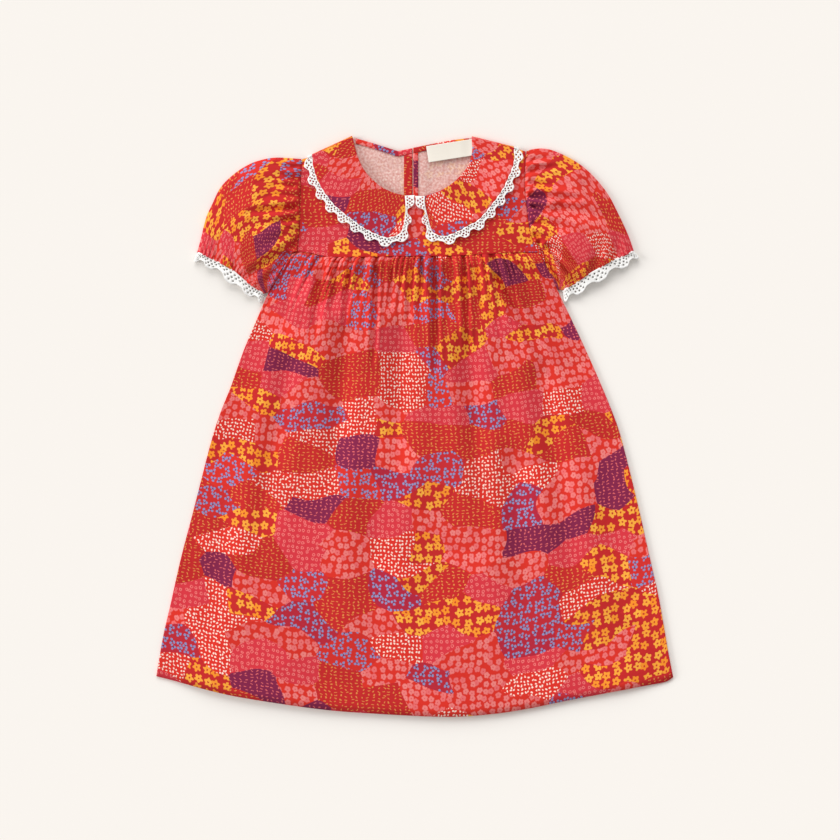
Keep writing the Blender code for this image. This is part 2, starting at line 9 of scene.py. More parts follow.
import bmesh
import bpy
import numpy as np
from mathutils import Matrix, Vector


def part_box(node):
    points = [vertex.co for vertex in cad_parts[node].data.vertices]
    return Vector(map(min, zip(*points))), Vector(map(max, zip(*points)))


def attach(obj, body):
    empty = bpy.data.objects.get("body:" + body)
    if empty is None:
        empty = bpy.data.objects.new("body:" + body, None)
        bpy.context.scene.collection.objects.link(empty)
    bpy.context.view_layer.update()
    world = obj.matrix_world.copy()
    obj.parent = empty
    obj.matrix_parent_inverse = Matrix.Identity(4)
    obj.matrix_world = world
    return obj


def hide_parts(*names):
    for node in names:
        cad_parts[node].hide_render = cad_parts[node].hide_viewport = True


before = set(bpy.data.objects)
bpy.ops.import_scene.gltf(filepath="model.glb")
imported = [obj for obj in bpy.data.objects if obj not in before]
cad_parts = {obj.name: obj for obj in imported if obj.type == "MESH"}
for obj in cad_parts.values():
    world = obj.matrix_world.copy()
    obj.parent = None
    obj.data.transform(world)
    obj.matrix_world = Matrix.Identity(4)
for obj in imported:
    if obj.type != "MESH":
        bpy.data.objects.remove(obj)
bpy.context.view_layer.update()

# Table, light and camera. The dress lies on a plain cream table top, lit by a big soft window
# light from beyond the neck, and is seen from straight above with a long lens.
MM = 0.001
TABLE_CREAM = "F7F2EC"
CAMERA_HEIGHT = 3.0
FIELD = 0.840


def linear(code):
    """An sRGB hex colour as linear light, with alpha."""
    values = [int(code[at : at + 2], 16) / 255 for at in (0, 2, 4)]
    return (*[c / 12.92 if c <= 0.04045 else ((c + 0.055) / 1.055) ** 2.4 for c in values], 1)


def add(tree, kind, inputs=None, out=0, **settings):
    """Adds a node with its settings, links or sets its inputs, and returns one of its outputs."""
    made = tree.nodes.new(kind)
    for name, value in settings.items():
        setattr(made, name, value)
    for key, value in (inputs or {}).items():
        if isinstance(value, bpy.types.NodeSocket):
            tree.links.new(value, made.inputs[key])
        else:
            made.inputs[key].default_value = value
    return made.outputs[out] if made.outputs else made


def new_material(name, roughness, sheen=0.0):
    made = bpy.data.materials.new(name)
    made.use_nodes = True
    shader = made.node_tree.nodes["Principled BSDF"]
    shader.inputs["Roughness"].default_value = roughness
    shader.inputs["Sheen Weight"].default_value = sheen
    shader.inputs["Sheen Roughness"].default_value = 0.5
    return made, made.node_tree, shader


bpy.ops.mesh.primitive_plane_add(size=60, location=(0, 0, -0.0004))
table = bpy.context.object
table.name = "table_top"
painted, tree, shader = new_material("painted board, matt", 0.9)
shader.inputs["Base Color"].default_value = linear(TABLE_CREAM)
shader.inputs["Specular IOR Level"].default_value = 0.0
table.data.materials.append(painted)

world = bpy.data.worlds.new("studio")
bpy.context.scene.world = world
world.use_nodes = True
world.node_tree.nodes["Background"].inputs["Color"].default_value = (1, 1, 1, 1)
world.node_tree.nodes["Background"].inputs["Strength"].default_value = 0.52
bpy.context.scene.view_settings.view_transform = "Standard"

# Each light: height over the table and bearing from beyond the neck towards the left, in degrees,
# its spread in degrees, and its share of the light on the table.
for name, height, bearing, spread, share in (("window", 34, 8, 46, 0.31), ("side_window", 22, 84, 26, 0.20)):
    light = bpy.data.lights.new(name, "SUN")
    light.energy = share * math.pi / math.sin(math.radians(height))
    light.angle = math.radians(spread)
    light_object = bpy.data.objects.new(name, light)
    light_object.rotation_euler = (math.radians(height - 90), 0, math.radians(bearing))
    bpy.context.scene.collection.objects.link(light_object)

lens = bpy.data.cameras.new("camera")
lens.sensor_width = 36
lens.lens = 36 * CAMERA_HEIGHT / FIELD
lens.clip_end = 50
camera = bpy.data.objects.new("camera", lens)
camera.location = (0.0052, 0.0057, CAMERA_HEIGHT)
bpy.context.scene.collection.objects.link(camera)
bpy.context.scene.camera = camera

# Printed cotton poplin. A plain weave of fine combed cotton, screen printed on one side: matt, with
# a faint nap, and paler with a ghost of the print on its reverse. The print is a patchwork of small
# garden motifs, each patch about 80 by 40 mm, and follows the cut, so it closes up in the gathers.
PRINT = {
    "red": "DC3328", "deep": "C62A2A", "crimson": "AE263E", "rose": "D83843", "plum": "84264A",
    "pink": "E96C6C", "blush": "EE8580", "orange": "F7912A", "amber": "FBB244", "cream": "FBDDCF",
    "lilac": "8A92C0", "night": "5E2250", "tan": "E2904A",
}
THREAD_PITCH = 0.9  # real threads lie 0.25 mm apart, too fine to show here


def motif_field(tree, point, pitch, loose, stretch=1.0):
    """Loose cells of this pitch in mm: offset from each cell's middle, its length, angle and chance."""
    scaled = add(tree, "ShaderNodeVectorMath",
                 {0: point, 1: (1 / pitch, 1 / (pitch * stretch), 1)}, operation="MULTIPLY")
    cell = add(tree, "ShaderNodeTexVoronoi", {"Vector": scaled, "Scale": 1.0, "Randomness": loose},
               voronoi_dimensions="2D", out="Position").node
    offset = add(tree, "ShaderNodeVectorMath", {0: scaled, 1: cell.outputs["Position"]},
                 operation="SUBTRACT")
    parts = add(tree, "ShaderNodeSeparateXYZ", {0: offset}).node
    chance = add(tree, "ShaderNodeSeparateColor", {0: cell.outputs["Color"]}).node
    turn = add(tree, "ShaderNodeMath", {0: chance.outputs[1], 1: 6.28}, operation="MULTIPLY")
    angle = add(tree, "ShaderNodeMath", {0: parts.outputs[1], 1: parts.outputs[0]}, operation="ARCTAN2")
    angle = add(tree, "ShaderNodeMath", {0: angle, 1: turn}, operation="ADD")
    length = add(tree, "ShaderNodeVectorMath", {0: offset}, operation="LENGTH", out="Value")
    return parts.outputs, length, angle, chance.outputs


def edge(tree, distance, radius, soft):
    """1 inside the radius and 0 outside, with a soft printed edge."""
    return add(tree, "ShaderNodeMapRange", {0: distance, 1: radius + soft, 2: radius - soft, 3: 0.0, 4: 1.0})


def wave(tree, angle, count, base, swing):
    """A radius that swings count times round."""
    turned = add(tree, "ShaderNodeMath", {0: angle, 1: float(count)}, operation="MULTIPLY")
    turned = add(tree, "ShaderNodeMath", {0: turned}, operation="COSINE")
    return add(tree, "ShaderNodeMath", {0: turned, 1: swing, 2: base}, operation="MULTIPLY_ADD")


def mix(tree, factor, first, second):
    first = linear(first) if isinstance(first, str) else first
    second = linear(second) if isinstance(second, str) else second
    return add(tree, "ShaderNodeMix", {"Factor": factor, "A": first, "B": second}, data_type="RGBA", out=2)


def print_colour(tree, turn, shift):
    """The garden print on the cut's own flat coordinates, turned by degrees and moved in mm."""
    flat = add(tree, "ShaderNodeUVMap", uv_map="cut")
    point = add(tree, "ShaderNodeMapping", {"Vector": flat, "Location": (*shift, 0.0),
                "Rotation": (0, 0, math.radians(turn)), "Scale": (1000, 1000, 1)})
    # Patch outlines: cells wider than tall, with smooth wandering edges.
    sway = add(tree, "ShaderNodeTexNoise", {"Vector": point, "Scale": 0.02, "Detail": 0.0},
               noise_dimensions="2D", out="Color")
    sway = add(tree, "ShaderNodeVectorMath", {0: sway, 1: (0.5, 0.5, 0.5)}, operation="SUBTRACT")
    bent = add(tree, "ShaderNodeVectorMath", {0: sway, 1: (30.0, 22.0, 0.0), 2: point},
               operation="MULTIPLY_ADD")
    bent = add(tree, "ShaderNodeVectorMath", {0: bent, 1: (1 / 47, 1 / 25, 1)}, operation="MULTIPLY")
    patches = add(tree, "ShaderNodeTexVoronoi", {"Vector": bent, "Scale": 1.0, "Randomness": 0.85},
                  voronoi_dimensions="2D", out="Color")
    choice = add(tree, "ShaderNodeSeparateColor", {0: patches}).node
    # Motifs look drawn by hand: their outlines waver by a third of a millimetre.
    waver = add(tree, "ShaderNodeTexNoise", {"Vector": point, "Scale": 0.42, "Detail": 1.0},
                noise_dimensions="2D", out="Color")
    waver = add(tree, "ShaderNodeVectorMath", {0: waver, 1: (0.5, 0.5, 0.5)}, operation="SUBTRACT")
    drawn = add(tree, "ShaderNodeVectorMath", {0: waver, 1: (1.5, 1.5, 0.0), 2: point},
                operation="MULTIPLY_ADD")

    # Round five-petalled flowers in orange and amber on deep red.
    parts, length, angle, chance = motif_field(tree, drawn, 10.2, 0.45)
    petal = wave(tree, angle, 5, 0.37, 0.085)
    reach = add(tree, "ShaderNodeMath", {0: length, 1: petal}, operation="SUBTRACT")
    shade = mix(tree, chance[0], PRINT["orange"], PRINT["amber"])
    shade = mix(tree, edge(tree, length, 0.09, 0.03), shade, PRINT["deep"])
    flowers = mix(tree, edge(tree, reach, 0.0, 0.03), PRINT["deep"], shade)

    # Round pink blossoms, close together.
    parts, length, angle, chance = motif_field(tree, drawn, 6.9, 0.6)
    petal = wave(tree, angle, 5, 0.40, 0.035)
    reach = add(tree, "ShaderNodeMath", {0: length, 1: petal}, operation="SUBTRACT")
    shade = mix(tree, chance[0], PRINT["pink"], PRINT["blush"])
    shade = mix(tree, edge(tree, length, 0.07, 0.05), shade, PRINT["rose"])
    blossoms = mix(tree, edge(tree, reach, 0.0, 0.06), PRINT["red"], shade)

    # Cream seeds on red.
    parts, length, angle, chance = motif_field(tree, drawn, 3.7, 0.5)
    petal = wave(tree, angle, 2, 0.25, 0.05)
    reach = add(tree, "ShaderNodeMath", {0: length, 1: petal}, operation="SUBTRACT")
    seeds = mix(tree, edge(tree, reach, 0.0, 0.06), PRINT["red"], PRINT["cream"])

    # Short strokes, in tan on deep red and in rose on plum.
    parts, length, angle, chance = motif_field(tree, drawn, 5.4, 0.45, 0.6)
    petal = wave(tree, angle, 2, 0.18, 0.09)
    reach = add(tree, "ShaderNodeMath", {0: length, 1: petal}, operation="SUBTRACT")
    stroke = edge(tree, reach, 0.0, 0.06)
    plum = mix(tree, stroke, PRINT["plum"], PRINT["pink"])
    specks = mix(tree, stroke, PRINT["deep"], PRINT["tan"])

    # Trios of lilac berries on red or crimson.
    parts, length, angle, chance = motif_field(tree, drawn, 7.6, 0.5)
    third = add(tree, "ShaderNodeMath", {0: angle, 1: 3.0}, operation="MULTIPLY")
    third = add(tree, "ShaderNodeMath", {0: third}, operation="COSINE")
    third = add(tree, "ShaderNodeMath", {0: third}, operation="ARCCOSINE")
    third = add(tree, "ShaderNodeMath", {0: third, 1: 1 / 3}, operation="MULTIPLY")
    side = add(tree, "ShaderNodeMath", {0: third}, operation="SINE")
    side = add(tree, "ShaderNodeMath", {0: side, 1: length}, operation="MULTIPLY")
    along = add(tree, "ShaderNodeMath", {0: third}, operation="COSINE")
    along = add(tree, "ShaderNodeMath", {0: along, 1: length, 2: -0.25}, operation="MULTIPLY_ADD")
    offset = add(tree, "ShaderNodeCombineXYZ", {0: side, 1: along, 2: 0.0})
    offset = add(tree, "ShaderNodeVectorMath", {0: offset}, operation="LENGTH", out="Value")
    ground = mix(tree, choice.outputs[2], PRINT["red"], PRINT["crimson"])
    berries = mix(tree, edge(tree, offset, 0.165, 0.04), ground, PRINT["lilac"])
    berries = mix(tree, edge(tree, length, 0.09, 0.04), berries, PRINT["night"])

    # Pale rings on rose.
    parts, length, angle, chance = motif_field(tree, drawn, 5.2, 0.45)
    ring = add(tree, "ShaderNodeMath", {0: length, 1: 0.22}, operation="SUBTRACT")
    ring = add(tree, "ShaderNodeMath", {0: ring}, operation="ABSOLUTE")
    rings = mix(tree, edge(tree, ring, 0.06, 0.05), PRINT["rose"], PRINT["blush"])

    colour = flowers
    for start, patch_colour in ((0.23, blossoms), (0.44, specks), (0.59, berries), (0.71, rings),
                                (0.84, seeds), (0.93, plum)):
        above = add(tree, "ShaderNodeMath", {0: choice.outputs[0], 1: start}, operation="GREATER_THAN")
        colour = mix(tree, above, colour, patch_colour)
    # Each patch is inked a little lighter or darker.
    tone = add(tree, "ShaderNodeMapRange", {0: choice.outputs[1], 1: 0.0, 2: 1.0, 3: 0.94, 4: 1.08})
    return add(tree, "ShaderNodeVectorMath", {0: colour, 1: tone}, operation="MULTIPLY"), point


def weave(tree, shader, point, strength):
    """Bump of a plain weave: warp and weft crossing at the thread pitch."""
    threads = add(tree, "ShaderNodeVectorMath", {0: point, 1: (6.283 / THREAD_PITCH,) * 3},
                  operation="MULTIPLY")
    parts = add(tree, "ShaderNodeSeparateXYZ", {0: threads}).node
    warp = add(tree, "ShaderNodeMath", {0: parts.outputs[0]}, operation="SINE")
    weft = add(tree, "ShaderNodeMath", {0: parts.outputs[1]}, operation="SINE")
    cross = add(tree, "ShaderNodeMath", {0: warp, 1: weft}, operation="MULTIPLY")
    slub = add(tree, "ShaderNodeTexNoise", {"Vector": point, "Scale": 0.6, "Detail": 2.0},
               noise_dimensions="2D")
    height = add(tree, "ShaderNodeMath", {0: slub, 1: 1.2, 2: cross}, operation="MULTIPLY_ADD")
    bump = add(tree, "ShaderNodeBump", {"Height": height, "Strength": strength, "Distance": 0.0002})
    tree.links.new(bump, shader.inputs["Normal"])


def printed_poplin(name, turn=0.0, shift=(0.0, 0.0)):
    """Face and reverse of one cut piece of the print."""
    faces = []
    for side in ("face", "reverse"):
        made, tree, shader = new_material(f"cotton poplin, {side}, {name}", 0.88, 0.04)
        shader.inputs["Specular IOR Level"].default_value = 0.12
        colour, point = print_colour(tree, turn, shift)
        if side == "reverse":
            mottle = add(tree, "ShaderNodeTexNoise", {"Vector": point, "Scale": 0.45, "Detail": 3.0},
                         noise_dimensions="2D")
            mottle = add(tree, "ShaderNodeMapRange", {0: mottle, 1: 0.35, 2: 0.65, 3: 0.0, 4: 1.0})
            ground = mix(tree, mottle, "DFAEA3", "F6DDD4")
            colour = mix(tree, 0.20, ground, colour)
        tree.links.new(colour, shader.inputs["Base Color"])
        weave(tree, shader, point, 0.35)
        faces.append(made)
    return faces


# Front yoke. One piece of the print, cut straight across below, where the skirt hangs from it; its
# neck, shoulders and armholes are stay-stitched, and the seams turn its edges down a little.
SHIFT = (0.66, 0.192)  # the outlines below are centred on the dress's frame by this much
FACE_WALL = 0.6
SEAM_LINE = [
    (-117.7, 173.6), (-105, 172.4), (-84, 168.4), (-44, 168.6), (14, 169.2), (46, 169.8), (86, 172.2),
    (121.8, 173.4),
]
ARMHOLE_LEFT = [(-113.3, 266), (-114.5, 245), (-115.2, 222), (-115.6, 200), (-117.7, 173.6)]
ARMHOLE_RIGHT = [(110.2, 273.6), (108.9, 242), (111.3, 216), (115.2, 191), (121.8, 173.4)]
SHOULDER_LEFT = [(-113.3, 266), (-103.5, 269.3), (-62.8, 288.1)]
SHOULDER_RIGHT = [(56.1, 287.6), (98.8, 277.0), (110.2, 273.6)]
FRONT_NECK = [
    (-62.8, 288.1), (-57.6, 269), (-50, 253.5), (-35.7, 239.3), (-22.5, 232.6), (-9.7, 229), (8.7, 228.5),
    (24.5, 234.2), (36.5, 241.5), (46.9, 251.5), (53.1, 260.7), (56.6, 274), (56.1, 287.6),
]


def smooth(value):
    value = np.clip(value, 0.0, 1.0)
    return value * value * (3 - 2 * value)


def path(points):
    """A smooth curve through the points, as a function of the share of its length."""
    known = np.array(points, float)
    ends = np.vstack([2 * known[0] - known[1], known, 2 * known[-1] - known[-2]])
    share = np.linspace(0, 1, 12, endpoint=False)[:, None]
    fine = []
    for a, b, c, d in zip(ends, ends[1:], ends[2:], ends[3:]):
        bend = (2 * a - 5 * b + 4 * c - d) * share**2 + (3 * b - a - 3 * c + d) * share**3
        fine.append(0.5 * (2 * b + (c - a) * share + bend))
    fine = np.vstack([*fine, known[-1:]])
    run = np.concatenate([[0], np.cumsum(np.linalg.norm(np.diff(fine, axis=0), axis=1))])

    def at(part):
        along = np.asarray(part, float) * run[-1]
        return np.stack([np.interp(along, run, fine[:, axis]) for axis in (0, 1)], -1)

    at.length = run[-1]
    return at


def joined(paths, breaks):
    """Several paths end to end, each taking its share of 0 to 1."""

    def at(part):
        part = np.asarray(part, float)
        out = np.zeros((*part.shape, 2))
        for curve, start, end in zip(paths, breaks, breaks[1:]):
            inside = (part >= start) & (part <= end)
            out[inside] = curve((part[inside] - start) / (end - start))
        return out

    return at


def patch(top, bottom, first, last):
    """The surface between four edges: top and bottom run along u, first and last along v."""
    corners = [top(0.0), top(1.0), bottom(0.0), bottom(1.0)]

    def at(u, v):
        a, b = u[..., None], v[..., None]
        across = (1 - b) * top(u) + b * bottom(u)
        down = (1 - a) * first(v) + a * last(v)
        upper = (1 - a) * corners[0] + a * corners[1]
        lower = (1 - a) * corners[2] + a * corners[3]
        return across + down - (1 - b) * upper - b * lower

    return at


def stack(x, y, z):
    return np.stack(np.broadcast_arrays(x, y, z), -1)


def scatter(number, salt=0.0):
    """An even spread of values from 0 to 1, one for each whole number."""
    return np.mod(np.sin(number * 12.9898 + salt) * 437.585, 1.0)


def gathers(count, down, depth, reach):
    """Height change in mm of gathers that hang from a seam: round ridges with narrow troughs
    between them, one for each whole count, each trough of its own depth and reach."""
    trough = np.round(count)
    away = 2 * np.abs(count - trough)
    arch = np.clip(1 - (1 - away) ** 2, 0, 1) ** 0.5
    own_depth = depth * (0.45 + 0.55 * scatter(trough))
    own_reach = reach * (0.45 + 1.1 * scatter(trough, 2.0))
    return own_depth * (0.35 - (1 - arch)) * np.exp(-((down / own_reach) ** 1.3))


def crease(x, y, folds):
    """Height change in mm of soft troughs, each with a raised lip either side of it. A fold is
    (x, y of one end, x, y of the other, depth, half width)."""
    height = np.zeros_like(x)
    for ax, ay, bx, by, depth, half in folds:
        long = (bx - ax) ** 2 + (by - ay) ** 2
        share = ((x - ax) * (bx - ax) + (y - ay) * (by - ay)) / long
        near = np.clip(share, 0, 1)
        away = np.hypot(x - ax - near * (bx - ax), y - ay - near * (by - ay)) / half
        fade = np.clip(1.15 - share, 0, 1) ** 0.8
        height -= depth * fade * (np.exp(-(away**2)) - 0.4 * np.exp(-((away - 2.0) ** 2)))
    return height


def sew_sheet(name, u, v, place, materials, wall=FACE_WALL, outside=1, closed=False, holes=None):
    """A thin shell of cloth on place(u, v), which gives (x, y, z) of the face and (x, y) on the
    flat cut, in mm. outside is 1 if u, v run so that the face looks along its normal."""
    across, down = np.meshgrid(u, v)
    points, cut = place(across, down)
    points = points + np.array([*SHIFT, 0])
    rows, columns = across.shape
    wide = columns - 1 if closed else columns
    grid_row, grid_column = np.mgrid[0 : rows - 1, 0 : columns - 1]
    row, column = grid_row.ravel(), grid_column.ravel()
    ring = [(0, 0), (0, 1), (1, 1), (1, 0)][::outside]
    keep = np.ones(len(row), bool) if holes is None else ~holes[row, column]
    row, column = row[keep], column[keep]
    corners = np.stack([(row + a) * wide + (column + b) % wide for a, b in ring], 1)
    cut_corners = np.stack([(row + a) * columns + column + b for a, b in ring], 1)
    mesh = bpy.data.meshes.new(name)
    mesh.from_pydata((points[:, :wide].reshape(-1, 3) * MM).tolist(), [], corners.tolist())
    layer = mesh.uv_layers.new(name="cut")
    layer.data.foreach_set("uv", (cut.reshape(-1, 2)[cut_corners.ravel()] * MM).ravel())
    shape = bmesh.new()
    shape.from_mesh(mesh)
    loose = [vert for vert in shape.verts if not vert.link_faces]
    bmesh.ops.delete(shape, geom=loose, context="VERTS")
    shape.to_mesh(mesh)
    shape.free()
    mesh.shade_smooth()
    for made in materials:
        mesh.materials.append(made)
    piece = bpy.data.objects.new(name, mesh)
    bpy.context.scene.collection.objects.link(piece)
    shell = piece.modifiers.new("wall", "SOLIDIFY")
    shell.thickness = wall * MM
    shell.offset = -1
    shell.material_offset = len(materials) - 1
    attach(piece, "root")
    return piece


def shoulder_distance(x, y):
    """How far a point lies below the nearer shoulder seam."""
    away = []
    for (ax, ay), (bx, by) in (SHOULDER_LEFT[1:], SHOULDER_RIGHT[:2]):
        away.append(((x - ax) * (by - ay) - (y - ay) * (bx - ax)) / math.hypot(bx - ax, by - ay))
    return np.where(x < 0, *away)


def front_top(x, y):
    """The face of the front yoke: it rises from the shoulders and armholes to the middle."""
    rise = 0.3 + 0.7 * smooth((113 - np.abs(x)) / 55)
    return 3.6 + 2.8 * rise * smooth(shoulder_distance(x, y) / 60)


yoke_breaks = [0, 6 / 28, 22 / 28, 1]
yoke_top = joined([path(SHOULDER_LEFT), path(FRONT_NECK), path(SHOULDER_RIGHT)], yoke_breaks)
seam_curve = path(SEAM_LINE)
yoke_patch = patch(
    yoke_top, lambda u: seam_curve(np.interp(u, yoke_breaks, [0, 0.13, 0.87, 1])),
    path(ARMHOLE_LEFT), path(ARMHOLE_RIGHT),
)
YOKE_FOLDS = [(-104, 205, -60, 200, 0.5, 9), (104, 210, 62, 203, 0.5, 10), (-98, 240, -104, 190, 0.4, 8)]


def front_yoke_shape(u, v):
    plan = yoke_patch(u, v)
    x, y = plan[..., 0], plan[..., 1]
    z = front_top(x, y) + crease(x, y, YOKE_FOLDS)
    # Puckers above the gathered seam, and edges that turn down into it.
    pucker = np.sin(2 * np.pi * (27 * u + 0.35 * np.sin(33 * u))) * (0.6 + 0.4 * np.sin(17 * u))
    z += 0.28 * pucker * np.exp(-(1 - v) * 85 / 9)
    z += 0.25 * np.sin(x / 19 + 1) * np.cos(y / 15)
    turned = np.exp(-(1 - v) * 85 / 1.3) + np.exp(-u * 235 / 1.3) + np.exp(-(1 - u) * 235 / 1.3)
    return stack(x, y, z - 0.4 * turned), stack(x, y, 0 * x)[..., :2]


yoke_rows = 1 - (1 - np.linspace(0, 1, 64)) ** 1.6
yoke_columns = np.linspace(0, 1, 200)
front_yoke = sew_sheet(
    "yoke_front_cloth", yoke_columns, yoke_rows, front_yoke_shape,
    printed_poplin("front yoke", 0, (31, 12)), outside=-1,
)
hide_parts("front_yoke")

# Back yoke. Two halves of the print, face down on the table, whose pale reverse shows through the
# neck. The right half laps over the left at the centre, where the dress opens.
BACK_NECK = [
    (-62.8, 288.1), (-40, 281.4), (-17.5, 274.2), (2, 278.3), (21.5, 282.4), (36.5, 285.2), (56.1, 287.6),
]
LEFT_END, RIGHT_END = 6.0, -2.5
BACK_TOP = 2.1


def neck_height(x):
    known = np.array(BACK_NECK)
    return np.interp(x, known[:, 0], known[:, 1])


def lap(x):
    """Height that the right half gains where it laps over the left."""
    return 1.3 * (1 - smooth((x - 7) / 11))


left_patch = patch(
    joined([path(SHOULDER_LEFT), path([p for p in BACK_NECK if p[0] < 0] + [(6, neck_height(6))])],
           [0, 0.5, 1]),
    path([p for p in SEAM_LINE if p[0] < 0] + [(6, 169.0)]),
    path(ARMHOLE_LEFT),
    path([(6, neck_height(6)), (6, 169.0)]),
)
right_patch = patch(
    joined([path([(-2.5, neck_height(-2.5))] + [p for p in BACK_NECK if p[0] > 0]), path(SHOULDER_RIGHT)],
           [0, 0.5, 1]),
    path([(-2.5, 169.0)] + [p for p in SEAM_LINE if p[0] > 0]),
    path([(-2.5, neck_height(-2.5)), (-2.5, 169.0)]),
    path(ARMHOLE_RIGHT),
)
for name, half, raised, angle in (("left", left_patch, False, -4), ("right", right_patch, True, 5)):

    def back_shape(u, v, half=half, raised=raised):
        plan = half(u, v)
        x, y = plan[..., 0], plan[..., 1]
        z = 1.32 + (lap(x) if raised else 0) + 0.12 * smooth((y - 200) / 60) * (1 + np.sin(x / 13 + y / 17))
        return stack(x, y, z), stack(x, y, 0 * x)[..., :2]

    half_piece = sew_sheet(
        f"yoke_back_cloth_{name}", np.linspace(0, 1, 90), np.linspace(0, 1, 60), back_shape,
        printed_poplin(f"back yoke {name}", angle, (90 * (name == "left"), 47)), outside=1,
    )
    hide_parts(f"back_yoke_{name}")

# Skirt. A flared front panel, gathered into the yoke by about half its width again, over a plain
# back panel, joined at the sides. The gathers open into soft folds that fade towards the hem.
SKIRT_LENGTH = 455.0
UNDERARM_LEFT = [(-117.7, 173.6), (-124, 170), (-134.5, 153.5), (-143.5, 138.5), (-150, 126)]
UNDERARM_RIGHT = [(121.8, 173.4), (127, 166), (134.8, 151.5), (140.2, 140), (145, 128.5)]
SIDE_LEFT = [
    (-150, 126), (-162.2, 97.3), (-172.5, 73), (-184.6, 38.7), (-194.9, 12.9), (-205.2, -19.8),
    (-221.9, -84.9), (-234.5, -133), (-245, -179.5), (-252.3, -211.5), (-259, -250.6),
]
SIDE_RIGHT = [
    (145, 128.5), (156.5, 104.8), (169.5, 77), (184.2, 43.8), (197.2, 12.3), (206.4, -15.4),
    (221.2, -74.5), (234.2, -132), (243.4, -173), (252.7, -226.5), (257.6, -251.5),
]
HEM = [
    (-259, -250.6), (-240, -255.4), (-204, -265), (-168.5, -272.4), (-97, -283), (-43.5, -287.5),
    (30, -290.8), (77, -288), (114, -282.4), (151, -274.8), (225, -260.8), (249, -256.5), (257.6, -251.5),
]
# Folds below the gathers, longest and deepest last: ends, depth and half width.
SKIRT_FOLDS = [
    (-114, 168, -133, 100, 2.1, 4.2), (-94, 168, -100, 96, 3.4, 4.6), (-79, 168, -83, 120, 2.0, 2.2),
    (-65, 168, -71, 104, 3.0, 2.4), (-53, 168, -55, 122, 1.8, 2.0), (-39.5, 168, -42, 66, 3.2, 2.6),
    (-24, 168, -25, 118, 1.9, 2.2), (-5.5, 168, -7, 108, 2.6, 2.3), (6, 168, 7, 124, 1.7, 2.0),
    (18.5, 168, 20, 56, 4.2, 3.0), (33, 168, 36, 122, 2.0, 2.2), (48, 168, 52, 70, 3.4, 2.6),
    (60, 168, 66, 116, 1.9, 2.3), (76, 168, 86, 104, 2.2, 3.2), (80, 146, 134, 60, 2.8, 4.4),
    (104, 168, 126, 90, 1.6, 5.0), (-70, 92, -82, -60, 2.0, 10), (-14, 96, -20, -96, 1.7, 11),
    (52, 80, 70, -110, 2.1, 10), (127, 46, 156, -140, 1.9, 12), (-128, 62, -160, -130, 2.0, 12),
    (-40, -60, -44, -240, 1.4, 15), (98, -40, 112, -240, 1.5, 15), (-190, -70, -212, -230, 1.2, 13),
    (196, -60, 214, -225, 1.2, 13),
]
underarm_share = 56 / SKIRT_LENGTH
skirt_patch = patch(
    path(SEAM_LINE),
    path(HEM),
    joined([path(UNDERARM_LEFT), path(SIDE_LEFT)], [0, underarm_share, 1]),
    joined([path(UNDERARM_RIGHT), path(SIDE_RIGHT)], [0, underarm_share, 1]),
)


def skirt_cut(u, v, gathered):
    """Where a point lies on the flat panel, wider than the laid one where it is gathered."""
    wide = 240 * gathered + (530 - 240 * gathered) * v
    return stack((u - 0.5) * wide, -v * SKIRT_LENGTH, 0 * u)[..., :2]


def skirt_lift(y):
    return 1.3 * smooth((y - 112) / 56)


def skirt_front_shape(u, v):
    plan = skirt_patch(u, v)
    x, y = plan[..., 0], plan[..., 1]
    down = v * SKIRT_LENGTH
    width = 240 + 280 * v
    side = smooth(np.minimum(u, 1 - u) * width / 60)
    count = 30 * u + 0.45 * np.sin(2 * np.pi * 4.3 * u + 1) + 0.22 * np.sin(2 * np.pi * 11.7 * u)
    gather = gathers(count, down, 13.0, 30) * (0.3 + 0.7 * side) * smooth((down - 0.3) / 3.0)
    seam_height = front_top(x, np.full_like(x, 170.0)) - 3.6
    body = seam_height * (1 - smooth(down / 110)) + 4.2 * smooth(down / 110)
    bulge = 4.8 * smooth((down - 0.5) / 13) * (1 - smooth((down - 22) / 130))
    keep = np.where(down > 30, side, 1 - (1 - side) * down / 30)
    z = skirt_lift(y) + 2.3 + (body + bulge) * keep + gather
    fade = smooth((down + 6) / 14)
    z += 2.2 * crease(x, y, SKIRT_FOLDS) * side * fade * (1 - 0.35 * smooth((down - 330) / 125))
    z += 0.8 * side * smooth(down / 150) * np.sin(11 * u + 0.012 * down) * np.cos(5 * u - 1)
    # The first few millimetres tuck under the yoke's edge, and the hem turns down.
    z -= 3.3 * np.exp(-down / 1.7)
    z -= 0.9 * np.exp(-(SKIRT_LENGTH - down) / 2.0)
    y = y + 1.3 * np.exp(-down / 1.2)
    z = np.maximum(z, skirt_lift(y) + 1.75)
    return stack(x, y, z), skirt_cut(u, v, 1.6)


skirt_rows = np.concatenate([np.linspace(0, 0.07, 30), 0.07 + 0.93 * np.linspace(0, 1, 76)[1:] ** 1.25])
skirt_front = sew_sheet(
    "skirt_front_cloth", np.linspace(0, 1, 460), skirt_rows, skirt_front_shape,
    printed_poplin("front skirt", 0, (0, 0)), outside=-1,
)
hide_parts("skirt_front")


def skirt_back_shape(u, v):
    plan = skirt_patch(u, v)
    x, y = plan[..., 0], plan[..., 1]
    down = v * SKIRT_LENGTH
    lift = skirt_lift(y)
    z = 0.02 + lift + 0.05 * (1 + np.sin(x / 21 + down / 33)) * smooth(down / 80)
    return stack(x, y, z), skirt_cut(u, v, 1.0)


skirt_back = sew_sheet(
    "skirt_back_cloth", np.linspace(0, 1, 120), np.linspace(0, 1, 110), skirt_back_shape,
    printed_poplin("back skirt", 0, (140, 60)), outside=1,
)
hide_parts("skirt_back")

